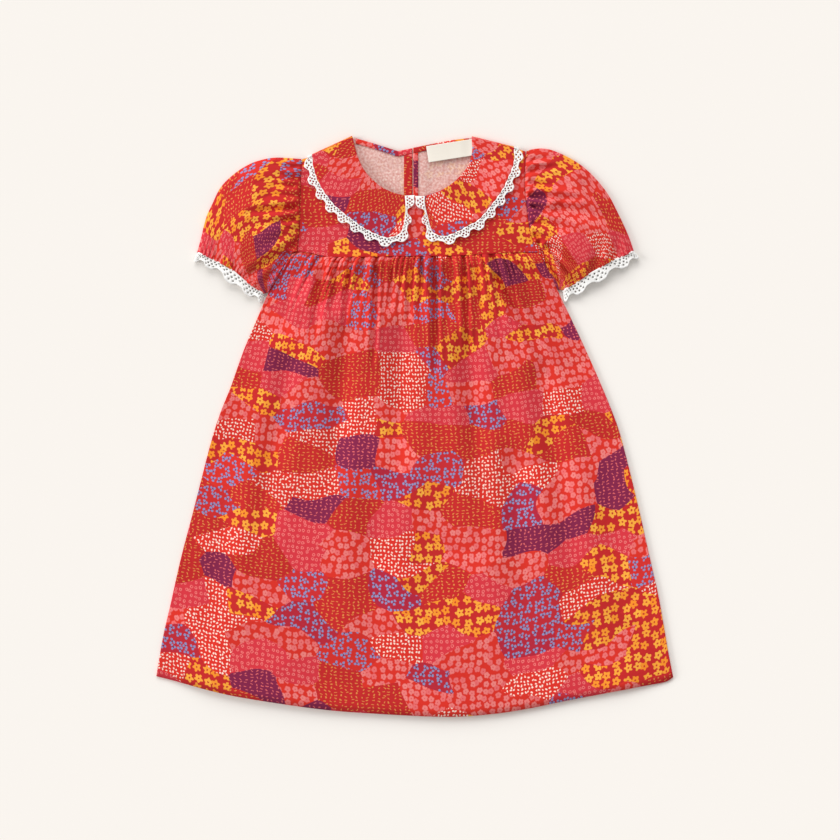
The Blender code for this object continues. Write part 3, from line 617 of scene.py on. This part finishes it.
# Puff sleeves. Each is one piece sewn to a tube, gathered into the armhole and drawn in at the cuff,
# so it stands up between them. Deep creases run from the underarm across it.
SLEEVE_LEFT_EDGE = [
    (-113.9, 266.3), (-137.5, 267.8), (-152.2, 265.9), (-166.8, 260.8), (-181.5, 251.2), (-194.7, 238),
    (-203.5, 220.5), (-209.4, 207.2), (-214.5, 186.7), (-218.2, 173.2),
]
SLEEVE_RIGHT_EDGE = [
    (110.8, 273.9), (116.8, 276), (128, 276.8), (140.8, 273.6), (159.9, 264), (175.8, 251.3),
    (191.8, 232.2), (202.9, 211.4), (212.5, 190.7), (218.1, 174.8),
]
CUFF_LEFT = [
    (-218.2, 173.2), (-199.8, 164.2), (-183.7, 155.3), (-173, 146.5), (-162.5, 138.5), (-151.4, 131.6),
]
CUFF_RIGHT = [(218.1, 174.8), (211, 170.3), (198, 165), (184.2, 157), (172, 150), (158.5, 141), (147.4, 135.2)]
LEFT_CREASES = [
    (-118, 181, -172, 145, 6.2, 4.8), (-126, 168, -152, 143, 6.0, 3.8), (-114, 258, -131, 258, 3.4, 2.2),
    (-114, 246, -138, 252, 3.6, 2.4), (-115, 239, -142, 240, 3.2, 2.4), (-115, 218, -166, 213, 6.0, 3.0),
    (-115, 208, -150, 200, 3.2, 2.8), (-116, 192, -146, 182, 2.4, 4.5), (-150, 205, -192, 176, 1.4, 8),
    (-176, 236, -203, 204, 1.2, 9), (-176, 150, -186, 176, 1.6, 5), (-196, 166, -200, 186, 1.4, 5),
]
RIGHT_CREASES = [
    (122, 181, 148, 137, 9.0, 2.8), (131, 177, 159, 143, 7.0, 2.8), (116, 192, 164, 158, 6.4, 3.2), (110, 264, 130, 267, 3.6, 2.0),
    (109, 254, 144, 259, 4.6, 2.4), (109, 243, 136, 240, 4.0, 2.2), (110, 230, 164, 226, 6.2, 3.0),
    (111, 222, 140, 211, 5.4, 2.4), (113, 204, 150, 196, 3.2, 4.0), (146, 218, 190, 205, 4.4, 6.0),
    (174, 240, 206, 198, 1.6, 8), (178, 154, 184, 180, 2.0, 5), (200, 168, 202, 190, 1.8, 5),
]
TURN_STEPS = 5


def around_tube(upper, lower):
    """Columns round a flattened tube: share across, turn in degrees at the edges and wall side."""
    turn = np.linspace(-90, 90, TURN_STEPS + 1)
    across = [np.zeros(TURN_STEPS), np.linspace(0, 1, upper + 1), np.ones(TURN_STEPS - 1),
              np.linspace(1, 0, lower + 1)]
    angle = [turn[:-1], np.full(upper + 1, 90.0), turn[::-1][1:-1], np.full(lower + 1, -90.0)]
    top = [np.ones(TURN_STEPS), np.ones(upper + 1), np.ones(TURN_STEPS - 1), np.zeros(lower + 1)]
    edge_side = [np.ones(TURN_STEPS), np.zeros(upper + 1), np.ones(TURN_STEPS - 1), np.zeros(lower + 1)]
    return [np.concatenate(part) for part in (across, angle, top, edge_side)]


def puff(s, across):
    full = 10.5 * np.sin(np.pi * (0.06 + 0.86 * s)) ** 0.8
    return full * np.maximum(np.sin(np.pi * across), 0) ** 0.65


def sleeve_surface(armhole, edge_points, cuff, creases, seed):
    under = path([armhole(np.array(1.0)), cuff[-1]])
    plan_of = patch(armhole, path(cuff), path(edge_points), under)
    across_all, angle_all, top_all, edge_all = around_tube(150, 36)
    last = len(across_all) - 1

    def place(u, v):
        index = np.round(u * last).astype(int)
        across, angle = across_all[index], np.radians(angle_all[index])
        top, turning = top_all[index], edge_all[index]
        s = v
        wide = np.linalg.norm(plan_of(np.ones_like(s), s) - plan_of(np.zeros_like(s), s), axis=-1)
        radius = 1.45 + 0.5 * s
        inner = radius / wide + across * (1 - 2 * radius / wide)
        reach = radius * (1 - np.cos(angle)) / wide
        share = np.where(turning > 0, np.where(across < 0.5, reach, 1 - reach), inner)
        plan = plan_of(share, s)
        rim = smooth(np.minimum(across, 1 - across) / 0.06)
        # The head tucks under the edge of the yoke.
        away = plan_of(share, np.minimum(s + 0.04, 1)) - plan_of(share, np.minimum(s, 0.96))
        away = away / np.linalg.norm(away, axis=-1)[..., None]
        tuck = 0.8 * np.exp(-s * 105 / 1.3) * smooth(rim * 4) * (top > 0)
        plan = plan - away * tuck[..., None]
        x, y = plan[..., 0], plan[..., 1]
        base = 1.3 * (1 - smooth(s / 0.4)) + 0.02
        z = base + radius * (1 + np.sin(angle))
        head_count = 13 * across + 0.45 * np.sin(13 * across + 1) + seed
        head = gathers(head_count, s * 105, 5.0, 17)
        hem_count = 17 * across + 0.4 * np.sin(11 * across)
        hem = 1.7 * (np.abs(np.sin(np.pi * hem_count)) ** 0.8 - 0.5)
        hem = hem * np.exp(-(((1 - s) * 105 / 12) ** 1.2))
        raised = puff(s, across) + (head + hem) * rim + crease(x, y, creases) * rim * smooth(s / 0.05)
        # No trough reaches the lower wall.
        raised = np.maximum(raised * smooth((s + 0.008) / 0.03), 2.0 - 2 * radius)
        raised = raised - 1.95 * np.exp(-s * 105 / 1.2) * rim
        z = np.where((top > 0) & (turning == 0), z + raised, z)
        low_ripple = 0.25 * (1 + np.sin(2 * np.pi * hem_count)) * np.exp(-(1 - s) * 105 / 10)
        z = np.where(top == 0, base + low_ripple, z)
        round_cut = np.where(top > 0, across * 190, 380 - across * 190)
        return stack(x, y, z), stack(round_cut, -s * 105, 0 * s)[..., :2]

    return place, np.linspace(0, 1, last + 1)


def beside(curve, shift):
    return lambda part: curve(0.95 * np.asarray(part, float)) + np.array(shift)


SLEEVES = {
    "left": (beside(joined([path(ARMHOLE_LEFT), path(UNDERARM_LEFT)], [0, 0.63, 1]), (-0.1, 0.2)),
             SLEEVE_LEFT_EDGE, CUFF_LEFT, LEFT_CREASES, (20, -30), 24, 3),
    "right": (beside(joined([path(ARMHOLE_RIGHT), path(UNDERARM_RIGHT)], [0, 0.66, 1]), (0.1, 0.2)),
              SLEEVE_RIGHT_EDGE, CUFF_RIGHT, RIGHT_CREASES, (143, -62), -20, 40),
}
sleeve_rows = np.concatenate([np.linspace(0, 0.12, 18), np.linspace(0.12, 0.86, 54)[1:],
                              np.linspace(0.86, 1, 18)[1:]])
for name, (armhole, edge_points, cuff, creases, shift, turn, seed) in SLEEVES.items():
    place, columns = sleeve_surface(armhole, edge_points, cuff, creases, seed)
    sleeve = sew_sheet(
        f"sleeve_cloth_{name}", columns, sleeve_rows, place,
        printed_poplin(f"{name} sleeve", turn, shift), outside=1 if name == "right" else -1, closed=True,
    )
    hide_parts(f"sleeve_{name}")

# Back opening and label. Facings of the print run down both edges of the opening, a bias binding
# closes the back neck, and a bare woven tape is caught down by its ends beside it.
PLACKET_END = 181.0
BINDING_WIDTH = 5.5


def strip_shape(left, wide, top, bottom, height, round_edge=0.35):
    """A flat strip whose long edges are turned down. All but the width may vary with x."""

    def place(u, v):
        x = left + u * wide
        y = top(x) + (bottom(x) - top(x)) * v
        edge_drop = np.exp(-u * wide / 0.5) + np.exp(-(1 - u) * wide / 0.5)
        return stack(x, y, height(x) - round_edge * edge_drop), stack(x, y, 0 * x)[..., :2]

    return place


def binding_shape(left, wide, height):
    def place(u, v):
        x = left + u * wide
        y = neck_height(x) - 0.1 - BINDING_WIDTH * v
        fat = 0.5 * np.sin(np.pi * v) ** 0.6
        return stack(x, y, height(x) - 0.45 + fat), stack(x, y * 1.0, 0 * x)[..., :2]

    return place


facing_top = lambda x: neck_height(x) - BINDING_WIDTH - 0.3
facing_end = lambda x: 0 * x + PLACKET_END
FACINGS = {
    "placket_left": (strip_shape(-11.5, 8.4, facing_top, facing_end, lambda x: 0 * x + 3.3), 12, 60, 14,
                     (8, 90), (0.0105, 0.09), 0.00078),
    "placket_right": (strip_shape(-2.2, 5.0, facing_top, facing_end, lambda x: 3.2 + lap(x)), 8, 60, 14,
                      (44, 10), (0.0105, 0.091), 0.00048),
    "neck_binding_left": (binding_shape(-59.6, 56.4, lambda x: 0 * x + 3.5), 60, 8, 40, (3, 8),
                          (0.058, 0.011), 0.00033),
    "neck_binding_right": (binding_shape(-2.2, 55.5, lambda x: 3.4 + lap(x)), 60, 8, 40, (61, 30),
                           (0.057, 0.011), 0.00033),
}
for name, (place, columns, rows, turn, shift, flat, area) in FACINGS.items():
    strip = sew_sheet(
        f"{name}_cloth", np.linspace(0, 1, columns), np.linspace(0, 1, rows), place,
        printed_poplin(name.replace("_", " "), turn, shift), outside=-1,
    )
    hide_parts(name)
    "back_yoke_right" if "right" in name else "back_yoke_left"

woven_tape, tree, shader = new_material("polyester satin tape, woven", 0.55, 0.2)
point = add(tree, "ShaderNodeUVMap", uv_map="cut")
ribs = add(tree, "ShaderNodeTexWave", {"Vector": point, "Scale": 620.0, "Distortion": 0.3})
# The rib pattern is painted into the colour: paler on the crests and darker in the grooves between them, a
# painted shade that follows their bump.
tree.links.new(mix(tree, ribs, "EBE2D4", "F3ECE0"), shader.inputs["Base Color"])
bump = add(tree, "ShaderNodeBump", {"Height": ribs, "Strength": 0.3, "Distance": 0.0001})
tree.links.new(bump, shader.inputs["Normal"])


def label_shape(u, v):
    angle = math.radians(9)
    along, across = 47.0 * u - 21.75, 16.5 * (0.5 - v)
    x = 33.4 + along * math.cos(angle) - across * math.sin(angle)
    y = 274.1 + along * math.sin(angle) + across * math.cos(angle)
    curl = 0.9 * v**2 * (0.4 + 0.6 * u) + 0.2 * np.sin(np.pi * u * 2.2)
    drop = 0.35 * (np.exp(-u * 43 / 1.2) + np.exp(-(1 - u) * 43 / 1.2))
    z = 5.2 + curl - drop - 0.95 * smooth((x - 44) / 11)
    return stack(x, y, z), stack(47 * u, 16.5 * v, 0 * u)[..., :2]


label = sew_sheet("neck_label_tape", np.linspace(0, 1, 70), np.linspace(0, 1, 26), label_shape,
                  [woven_tape], wall=0.35, outside=-1)
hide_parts("neck_label")

# Collar. Two faced halves of the print that meet at the centre front, fold over the shoulder seams
# and lie on the back. Their edges are turned and pressed, so they are thicker than one cloth.
COLLAR_WALL = 1.0
COLLAR_LEFT_FRONT = [(-9.9, 229.2), (-9.3, 215.3), (-11.1, 200), (-14.4, 192.3)]
COLLAR_LEFT_EDGE = [
    (-14.4, 192.3), (-19.5, 188.8), (-27.1, 187.2), (-34.8, 188.8), (-50.1, 195.9), (-61.8, 204.1),
    (-73.1, 212.6), (-83.8, 222.8), (-96, 240.7), (-101.6, 256), (-103.5, 269.3),
]
COLLAR_RIGHT_FRONT = [(8.9, 228.7), (9, 220.2), (12.1, 206.9), (15.6, 195.2)]
COLLAR_RIGHT_EDGE = [
    (15.6, 195.2), (20, 190.8), (28.9, 188.6), (41.1, 192.6), (52.4, 198.8), (63.1, 204.9),
    (74.4, 217.6), (86.1, 233.5), (92.3, 245.7), (98.4, 262), (98.8, 277.0),
]
COLLAR_LEFT_BACK_EDGE = [(-103.5, 269.3), (-97.5, 248), (-80, 230), (-55, 220.5), (-32, 219), (-21, 226)]
COLLAR_RIGHT_BACK_EDGE = [(98.8, 277.0), (93, 254), (77, 237), (56, 228), (35, 226), (22, 232)]
LEFT_SHOULDER = (SHOULDER_LEFT[2], SHOULDER_LEFT[1])
RIGHT_SHOULDER = (SHOULDER_RIGHT[0], SHOULDER_RIGHT[1])
FOLD_HIGH, FOLD_LOW = 5.1, 0.02  # outer faces of the collar, front and back, at the shoulder
FOLD_RADIUS = (FOLD_HIGH - FOLD_LOW) / 2


def collar_face(x, y):
    return front_top(x, y) + 1.5


def collar_curl(x, y):
    """How far the collar's rim stands off the yoke, more in some places than in others."""
    return (1.7 + 0.7 * np.sin(x / 11 + 0.4) * np.cos(y / 19)) * smooth(shoulder_distance(x, y) / 28)


def straight(start, end):
    start, end = np.array(start, float), np.array(end, float)
    return lambda part: start + np.asarray(part, float)[..., None] * (end - start)


def outward_of(line):
    (ax, ay), (bx, by) = line
    normal = np.array([ay - by, bx - ax]) / math.hypot(bx - ax, by - ay)
    return normal if normal[1] > 0 else -normal


def fold_over(front, back, shoulder, outward, breaks, radius_out=FOLD_RADIUS - 1.0):
    """Lays a sheet on the front, round the shoulder line and flat behind."""
    start, end = breaks

    def place(u, v):
        ahead = front(np.clip(u / start, 0, 1), v)
        behind = back(np.clip((u - end) / (1 - end), 0, 1), v)
        angle = np.pi * np.clip((u - start) / (end - start), 0, 1)
        turned = shoulder(v) + outward * radius_out * np.sin(angle)[..., None]
        x = np.where(u < start, ahead[..., 0], np.where(u > end, behind[..., 0], turned[..., 0]))
        y = np.where(u < start, ahead[..., 1], np.where(u > end, behind[..., 1], turned[..., 1]))
        z = np.where(u < start, collar_face(x, y),
                     np.where(u > end, FOLD_LOW, FOLD_LOW + FOLD_RADIUS * (1 + np.cos(angle))))
        return x, y, z

    return place


def fold_columns(front, turn, back, breaks):
    start, end = breaks
    return np.concatenate([np.linspace(0, start, front + 1), np.linspace(start, end, turn + 1)[1:],
                           np.linspace(end, 1, back + 1)[1:]])


COLLAR_BREAKS = (14 / 27, 18 / 27)
COLLARS = {
    "left": ([COLLAR_LEFT_FRONT[0], *[p for p in FRONT_NECK if p[0] < -10][::-1]], COLLAR_LEFT_EDGE,
             COLLAR_LEFT_FRONT, [*BACK_NECK[:2], (-19, 274.6)], COLLAR_LEFT_BACK_EDGE,
             [(-19, 274.6), (-18, 250), (-21, 226)], LEFT_SHOULDER, 1, 38, (12, 40)),
    "right": ([COLLAR_RIGHT_FRONT[0], *[p for p in FRONT_NECK if p[0] > 10]], COLLAR_RIGHT_EDGE,
              COLLAR_RIGHT_FRONT, [*BACK_NECK[:3:-1], (19, 281.8)], COLLAR_RIGHT_BACK_EDGE,
              [(19, 281.8), (18.5, 258), (22, 232)], RIGHT_SHOULDER, -1, -34, (66, 8)),
}
for name, (neck, rim, front_edge, back_neck, back_edge, centre_back, line, side, turn, shift) in COLLARS.items():
    shoulder = straight(*line)
    front = patch(path(neck), path(rim), path(front_edge), shoulder)
    back = patch(path(back_neck), path(back_edge), shoulder, path(centre_back))
    lay = fold_over(front, back, shoulder, outward_of(line), COLLAR_BREAKS)

    def collar_shape(u, v, lay=lay, side=side):
        x, y, z = lay(u, v)
        # Pressed edges roll under at the neck, the rim and the centre front.
        roll = np.exp(-v * 42 / 0.9) + np.exp(-(1 - v) * 42 / 0.9) + np.exp(-u * 300 / 0.9)
        on_front = u < COLLAR_BREAKS[0]
        soft = 0.35 * np.sin(x / 15 + 0.7) * np.sin(np.pi * v) * on_front
        soft += 0.8 * np.exp(-v * 42 / 7) * on_front * smooth(shoulder_distance(x, y) / 20)
        z = z + soft + (collar_curl(x, y) * v**2 - 0.55 * roll) * on_front
        return stack(x, y, z), stack(u * 300 * side, -v * 42, 0 * u)[..., :2]

    collar = sew_sheet(
        f"collar_cloth_{name}", fold_columns(90, 12, 50, COLLAR_BREAKS), np.linspace(0, 1, 40), collar_shape,
        printed_poplin(f"{name} collar", turn, shift), wall=COLLAR_WALL, outside=side,
    )
    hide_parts(f"collar_{name}")

# Lace. Cotton crochet edging, worked in one strip with rows of small eyelets behind a scalloped
# edge. It is caught under the collar's rim and run round it, over the shoulders, and is gathered on
# to the cuffs, where it waves a little.
LACE_WIDTH = 9.0
SCALLOP = 4.0
LACE_WALL = 0.75
CELLS_ALONG, CELLS_ACROSS = 20, 12
# Eyelets in one repeat, as grid points along and across.
EYELETS = [(2, 3), (6, 3), (10, 3), (14, 3), (18, 3), (0, 6), (4, 6), (8, 6), (12, 6), (16, 6),
           (6, 9), (10, 9), (14, 9)]
EYELET_RADIUS = 1.0

crochet, tree, shader = new_material("cotton crochet lace, mercerised", 0.7, 0.15)
point = add(tree, "ShaderNodeUVMap", uv_map="cut")
loops = add(tree, "ShaderNodeTexVoronoi", {"Vector": point, "Scale": 1050.0, "Randomness": 0.6},
            voronoi_dimensions="2D")
# The loop pattern is painted into the colour: whitest in the middle of each loop and darker in the dips between
# loops, a painted shade that follows their bump.
tree.links.new(mix(tree, loops, "FFFEFC", "F4F1EC"), shader.inputs["Base Color"])
bump = add(tree, "ShaderNodeBump", {"Height": loops, "Strength": 0.35, "Distance": 0.0003}, invert=True)
tree.links.new(bump, shader.inputs["Normal"])


def trapezoid(turns):
    return np.clip(0.5 - 0.72 * np.cos(2 * np.pi * turns), 0, 1)


def strip_of_lace(name, strip, repeats, materials, outside):
    """Lace on strip(u, v), with eyelets cut at the grid points of each repeat."""
    columns = repeats * CELLS_ALONG
    u, v = np.linspace(0, 1, columns + 1), np.linspace(0, 1, CELLS_ACROSS + 1)
    holes = np.zeros((CELLS_ACROSS, columns), bool)
    pull = {}
    for repeat in range(repeats):
        for along, across in EYELETS:
            at = repeat * CELLS_ALONG + along
            if not 1 <= at <= columns - 1:
                continue
            holes[across - 1 : across + 1, at - 1 : at + 1] = True
            for a in (-1, 0, 1):
                for b in (-1, 0, 1):
                    if (a, b) != (0, 0):
                        pull[(across + b, at + a)] = (across, at)

    def place(across, down):
        points, cut = strip(across, down)
        known = points.copy()
        for (row, column), (mid_row, mid_column) in pull.items():
            middle = known[mid_row, mid_column]
            ray = known[row, column] - middle
            long = max(np.linalg.norm(ray[:2]), 0.01)
            # An eyelet opens as far as the thread round it has room.
            room = 1.8 if row == mid_row or column == mid_column else 1.3
            points[row, column, :2] = middle[:2] + ray[:2] * min(EYELET_RADIUS / long, room)
            points[row, column, 2] += 0.22
        return points, cut

    return sew_sheet(name, u, v, place, materials, wall=LACE_WALL, outside=outside, holes=holes)


def rim_strip(curve, width, side, count, start=()):
    """Plan of a strip beside a curve with a scalloped outer edge: v = 0 lies just under the rim.
    start holds (mm from the first end, width there) where the strip is eased in."""
    ease = np.array([*start, (50, width), (1000, width)], float)

    def at(u, v):
        ahead = curve(np.clip(u + 0.01, 0, 1)) - curve(np.clip(u - 0.01, 0, 1))
        normal = side * np.stack([-ahead[..., 1], ahead[..., 0]], -1)
        normal = normal / np.linalg.norm(normal, axis=-1)[..., None]
        reach = np.interp(u * curve.length, ease[:, 0], ease[:, 1])
        reach = reach - SCALLOP * (1 - trapezoid(count * u)) * smooth(u * curve.length / 12)
        return curve(u) + normal * (-0.6 + v * (reach + 0.6))[..., None]

    return at


LACE_START = [(0, 9.2), (7, 8.6), (14, 5.0), (22, 6.0), (36, 8.4)]
LACES = {
    "left": (COLLAR_LEFT_FRONT[:-1] + COLLAR_LEFT_EDGE, [*COLLAR_LEFT_BACK_EDGE, (-18, 250), (-19, 272)],
             LEFT_SHOULDER, 1),
    "right": (COLLAR_RIGHT_FRONT[:-1] + COLLAR_RIGHT_EDGE, [*COLLAR_RIGHT_BACK_EDGE, (18.5, 258), (19, 279)],
              RIGHT_SHOULDER, -1),
}
for name, (rim, back_rim, line, side) in LACES.items():
    front_curve, back_curve = path(rim), path(back_rim)
    front_count, back_count = round(front_curve.length / 15), round(back_curve.length / 15)
    front_strip = rim_strip(front_curve, LACE_WIDTH, side, front_count, LACE_START)
    back_strip = rim_strip(back_curve, LACE_WIDTH - 1, -side, back_count)
    tip = np.array(line[1], float)
    outward_line = (tip - np.array(line[0])) / np.linalg.norm(tip - np.array(line[0]))
    total = front_count + 1 + back_count
    breaks = (front_count / total, (front_count + 1) / total)

    def on_line(v, tip=tip, outward_line=outward_line):
        return tip + outward_line * (-0.6 + v * (LACE_WIDTH - 1 - SCALLOP + 0.6))[..., None]

    def to_line(strip, end, on_line=on_line):
        def at(u, v):
            near = smooth(1 - np.abs(end - u) / 0.06)[..., None]
            return (1 - near) * strip(u, v) + near * on_line(v)

        return at

    lay = fold_over(to_line(front_strip, 1), to_line(back_strip, 0), on_line, outward_of(line), breaks)

    def lace_shape(u, v, lay=lay, total=total, breaks=breaks):
        x, y, z = lay(u, v)
        on_front = np.where(u < breaks[0], 1.0, 0.0)
        cord = 0.3 * np.exp(-(((v - 0.93) / 0.07) ** 2)) + 0.2 * np.exp(-(((v - 0.12) / 0.08) ** 2))
        z = z + on_front * (collar_curl(x, y) - 0.55 + cord + 0.18 * np.sin(2 * np.pi * u * total * 2))
        return stack(x, y, z), stack(u * total * 15, v * 9, 0 * u)[..., :2]

    lace = strip_of_lace(f"collar_edging_{name}", lace_shape, total, [crochet], side)
    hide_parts(f"collar_lace_{name}")

CUFF_LACE_LEFT = [
    (-222.5, 164.5), (-213.2, 160.2), (-199.8, 153.5), (-186.5, 142.5), (-174, 133.5), (-152.6, 121.2),
]
CUFF_LACE_RIGHT = [(224.5, 169), (215, 160.5), (201, 154), (187, 145), (171.5, 135.5), (147.7, 122.6)]
for name, cuff, outer in (("left", CUFF_LEFT, CUFF_LACE_LEFT), ("right", CUFF_RIGHT, CUFF_LACE_RIGHT)):
    inner_curve, outer_curve = path(cuff), path(outer)
    count = round(outer_curve.length / 17)

    def cuff_shape(u, v, inner_curve=inner_curve, outer_curve=outer_curve, count=count):
        # u runs over the upper wall, round the edge and back along the lower wall.
        turn = 2 * np.pi * u
        across = 0.5 - 0.5 * np.cos(turn)
        share = 0.005 + 0.99 * across
        upper = np.sin(turn)
        scallop = trapezoid(count * 2 * u)
        start, end = inner_curve(share), outer_curve(share)
        run = np.linalg.norm(end - start, axis=-1)
        reach = -0.8 + v * (run + 0.8 - SCALLOP * (1 - scallop))
        plan = start + (end - start) * (reach / run)[..., None]
        ripple = 0.8 * np.sin(2 * np.pi * u * count * 2 + 0.6) * v + 0.4 * np.sin(31 * u)
        top = 3.9 + (1 - 0.25 * v) * puff(1.0, across) + ripple
        z = np.where(upper > 0, 1.9 + (top - 1.9) * smooth(upper / 0.35), 1.9 * (1 - smooth(-upper / 0.35)))
        z = np.maximum(z, 0.02 + 0.25 * v * (1 + np.sin(2 * np.pi * u * count * 2)))
        return stack(plan[..., 0], plan[..., 1], z), stack(u * count * 34, v * 11, 0 * u)[..., :2]

    columns = 2 * count * CELLS_ALONG
    lace = strip_of_lace(f"cuff_edging_{name}", cuff_shape, 2 * count, [crochet], -1 if name == "left" else 1)
    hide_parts(f"sleeve_lace_{name}")

# Buttons. Three small four-hole buttons of pearly resin close the opening behind, drawn here as plain bevelled
# discs without their holes; they lie under the dress, between the back halves of the collar.
resin, tree, shader = new_material("polyester resin, pearl", 0.25)
shader.inputs["Base Color"].default_value = linear("F2ECE4")
for number in (1, 2, 3):
    low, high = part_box(f"back_button_{number}")
    shape = bmesh.new()
    bmesh.ops.create_cone(shape, cap_ends=True, segments=48, radius1=0.0045, radius2=0.0045, depth=0.001)
    bmesh.ops.translate(shape, verts=shape.verts, vec=((low + high) / 2))
    bmesh.ops.bevel(shape, geom=[e for e in shape.edges if e.calc_face_angle(0) > 1], offset=0.0003,
                    segments=3, affect="EDGES")
    mesh = bpy.data.meshes.new(f"button_{number}")
    shape.to_mesh(mesh)
    shape.free()
    mesh.shade_smooth()
    mesh.materials.append(resin)
    button = bpy.data.objects.new(f"button_{number}", mesh)
    bpy.context.scene.collection.objects.link(button)
    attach(button, "root")
    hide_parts(f"back_button_{number}")
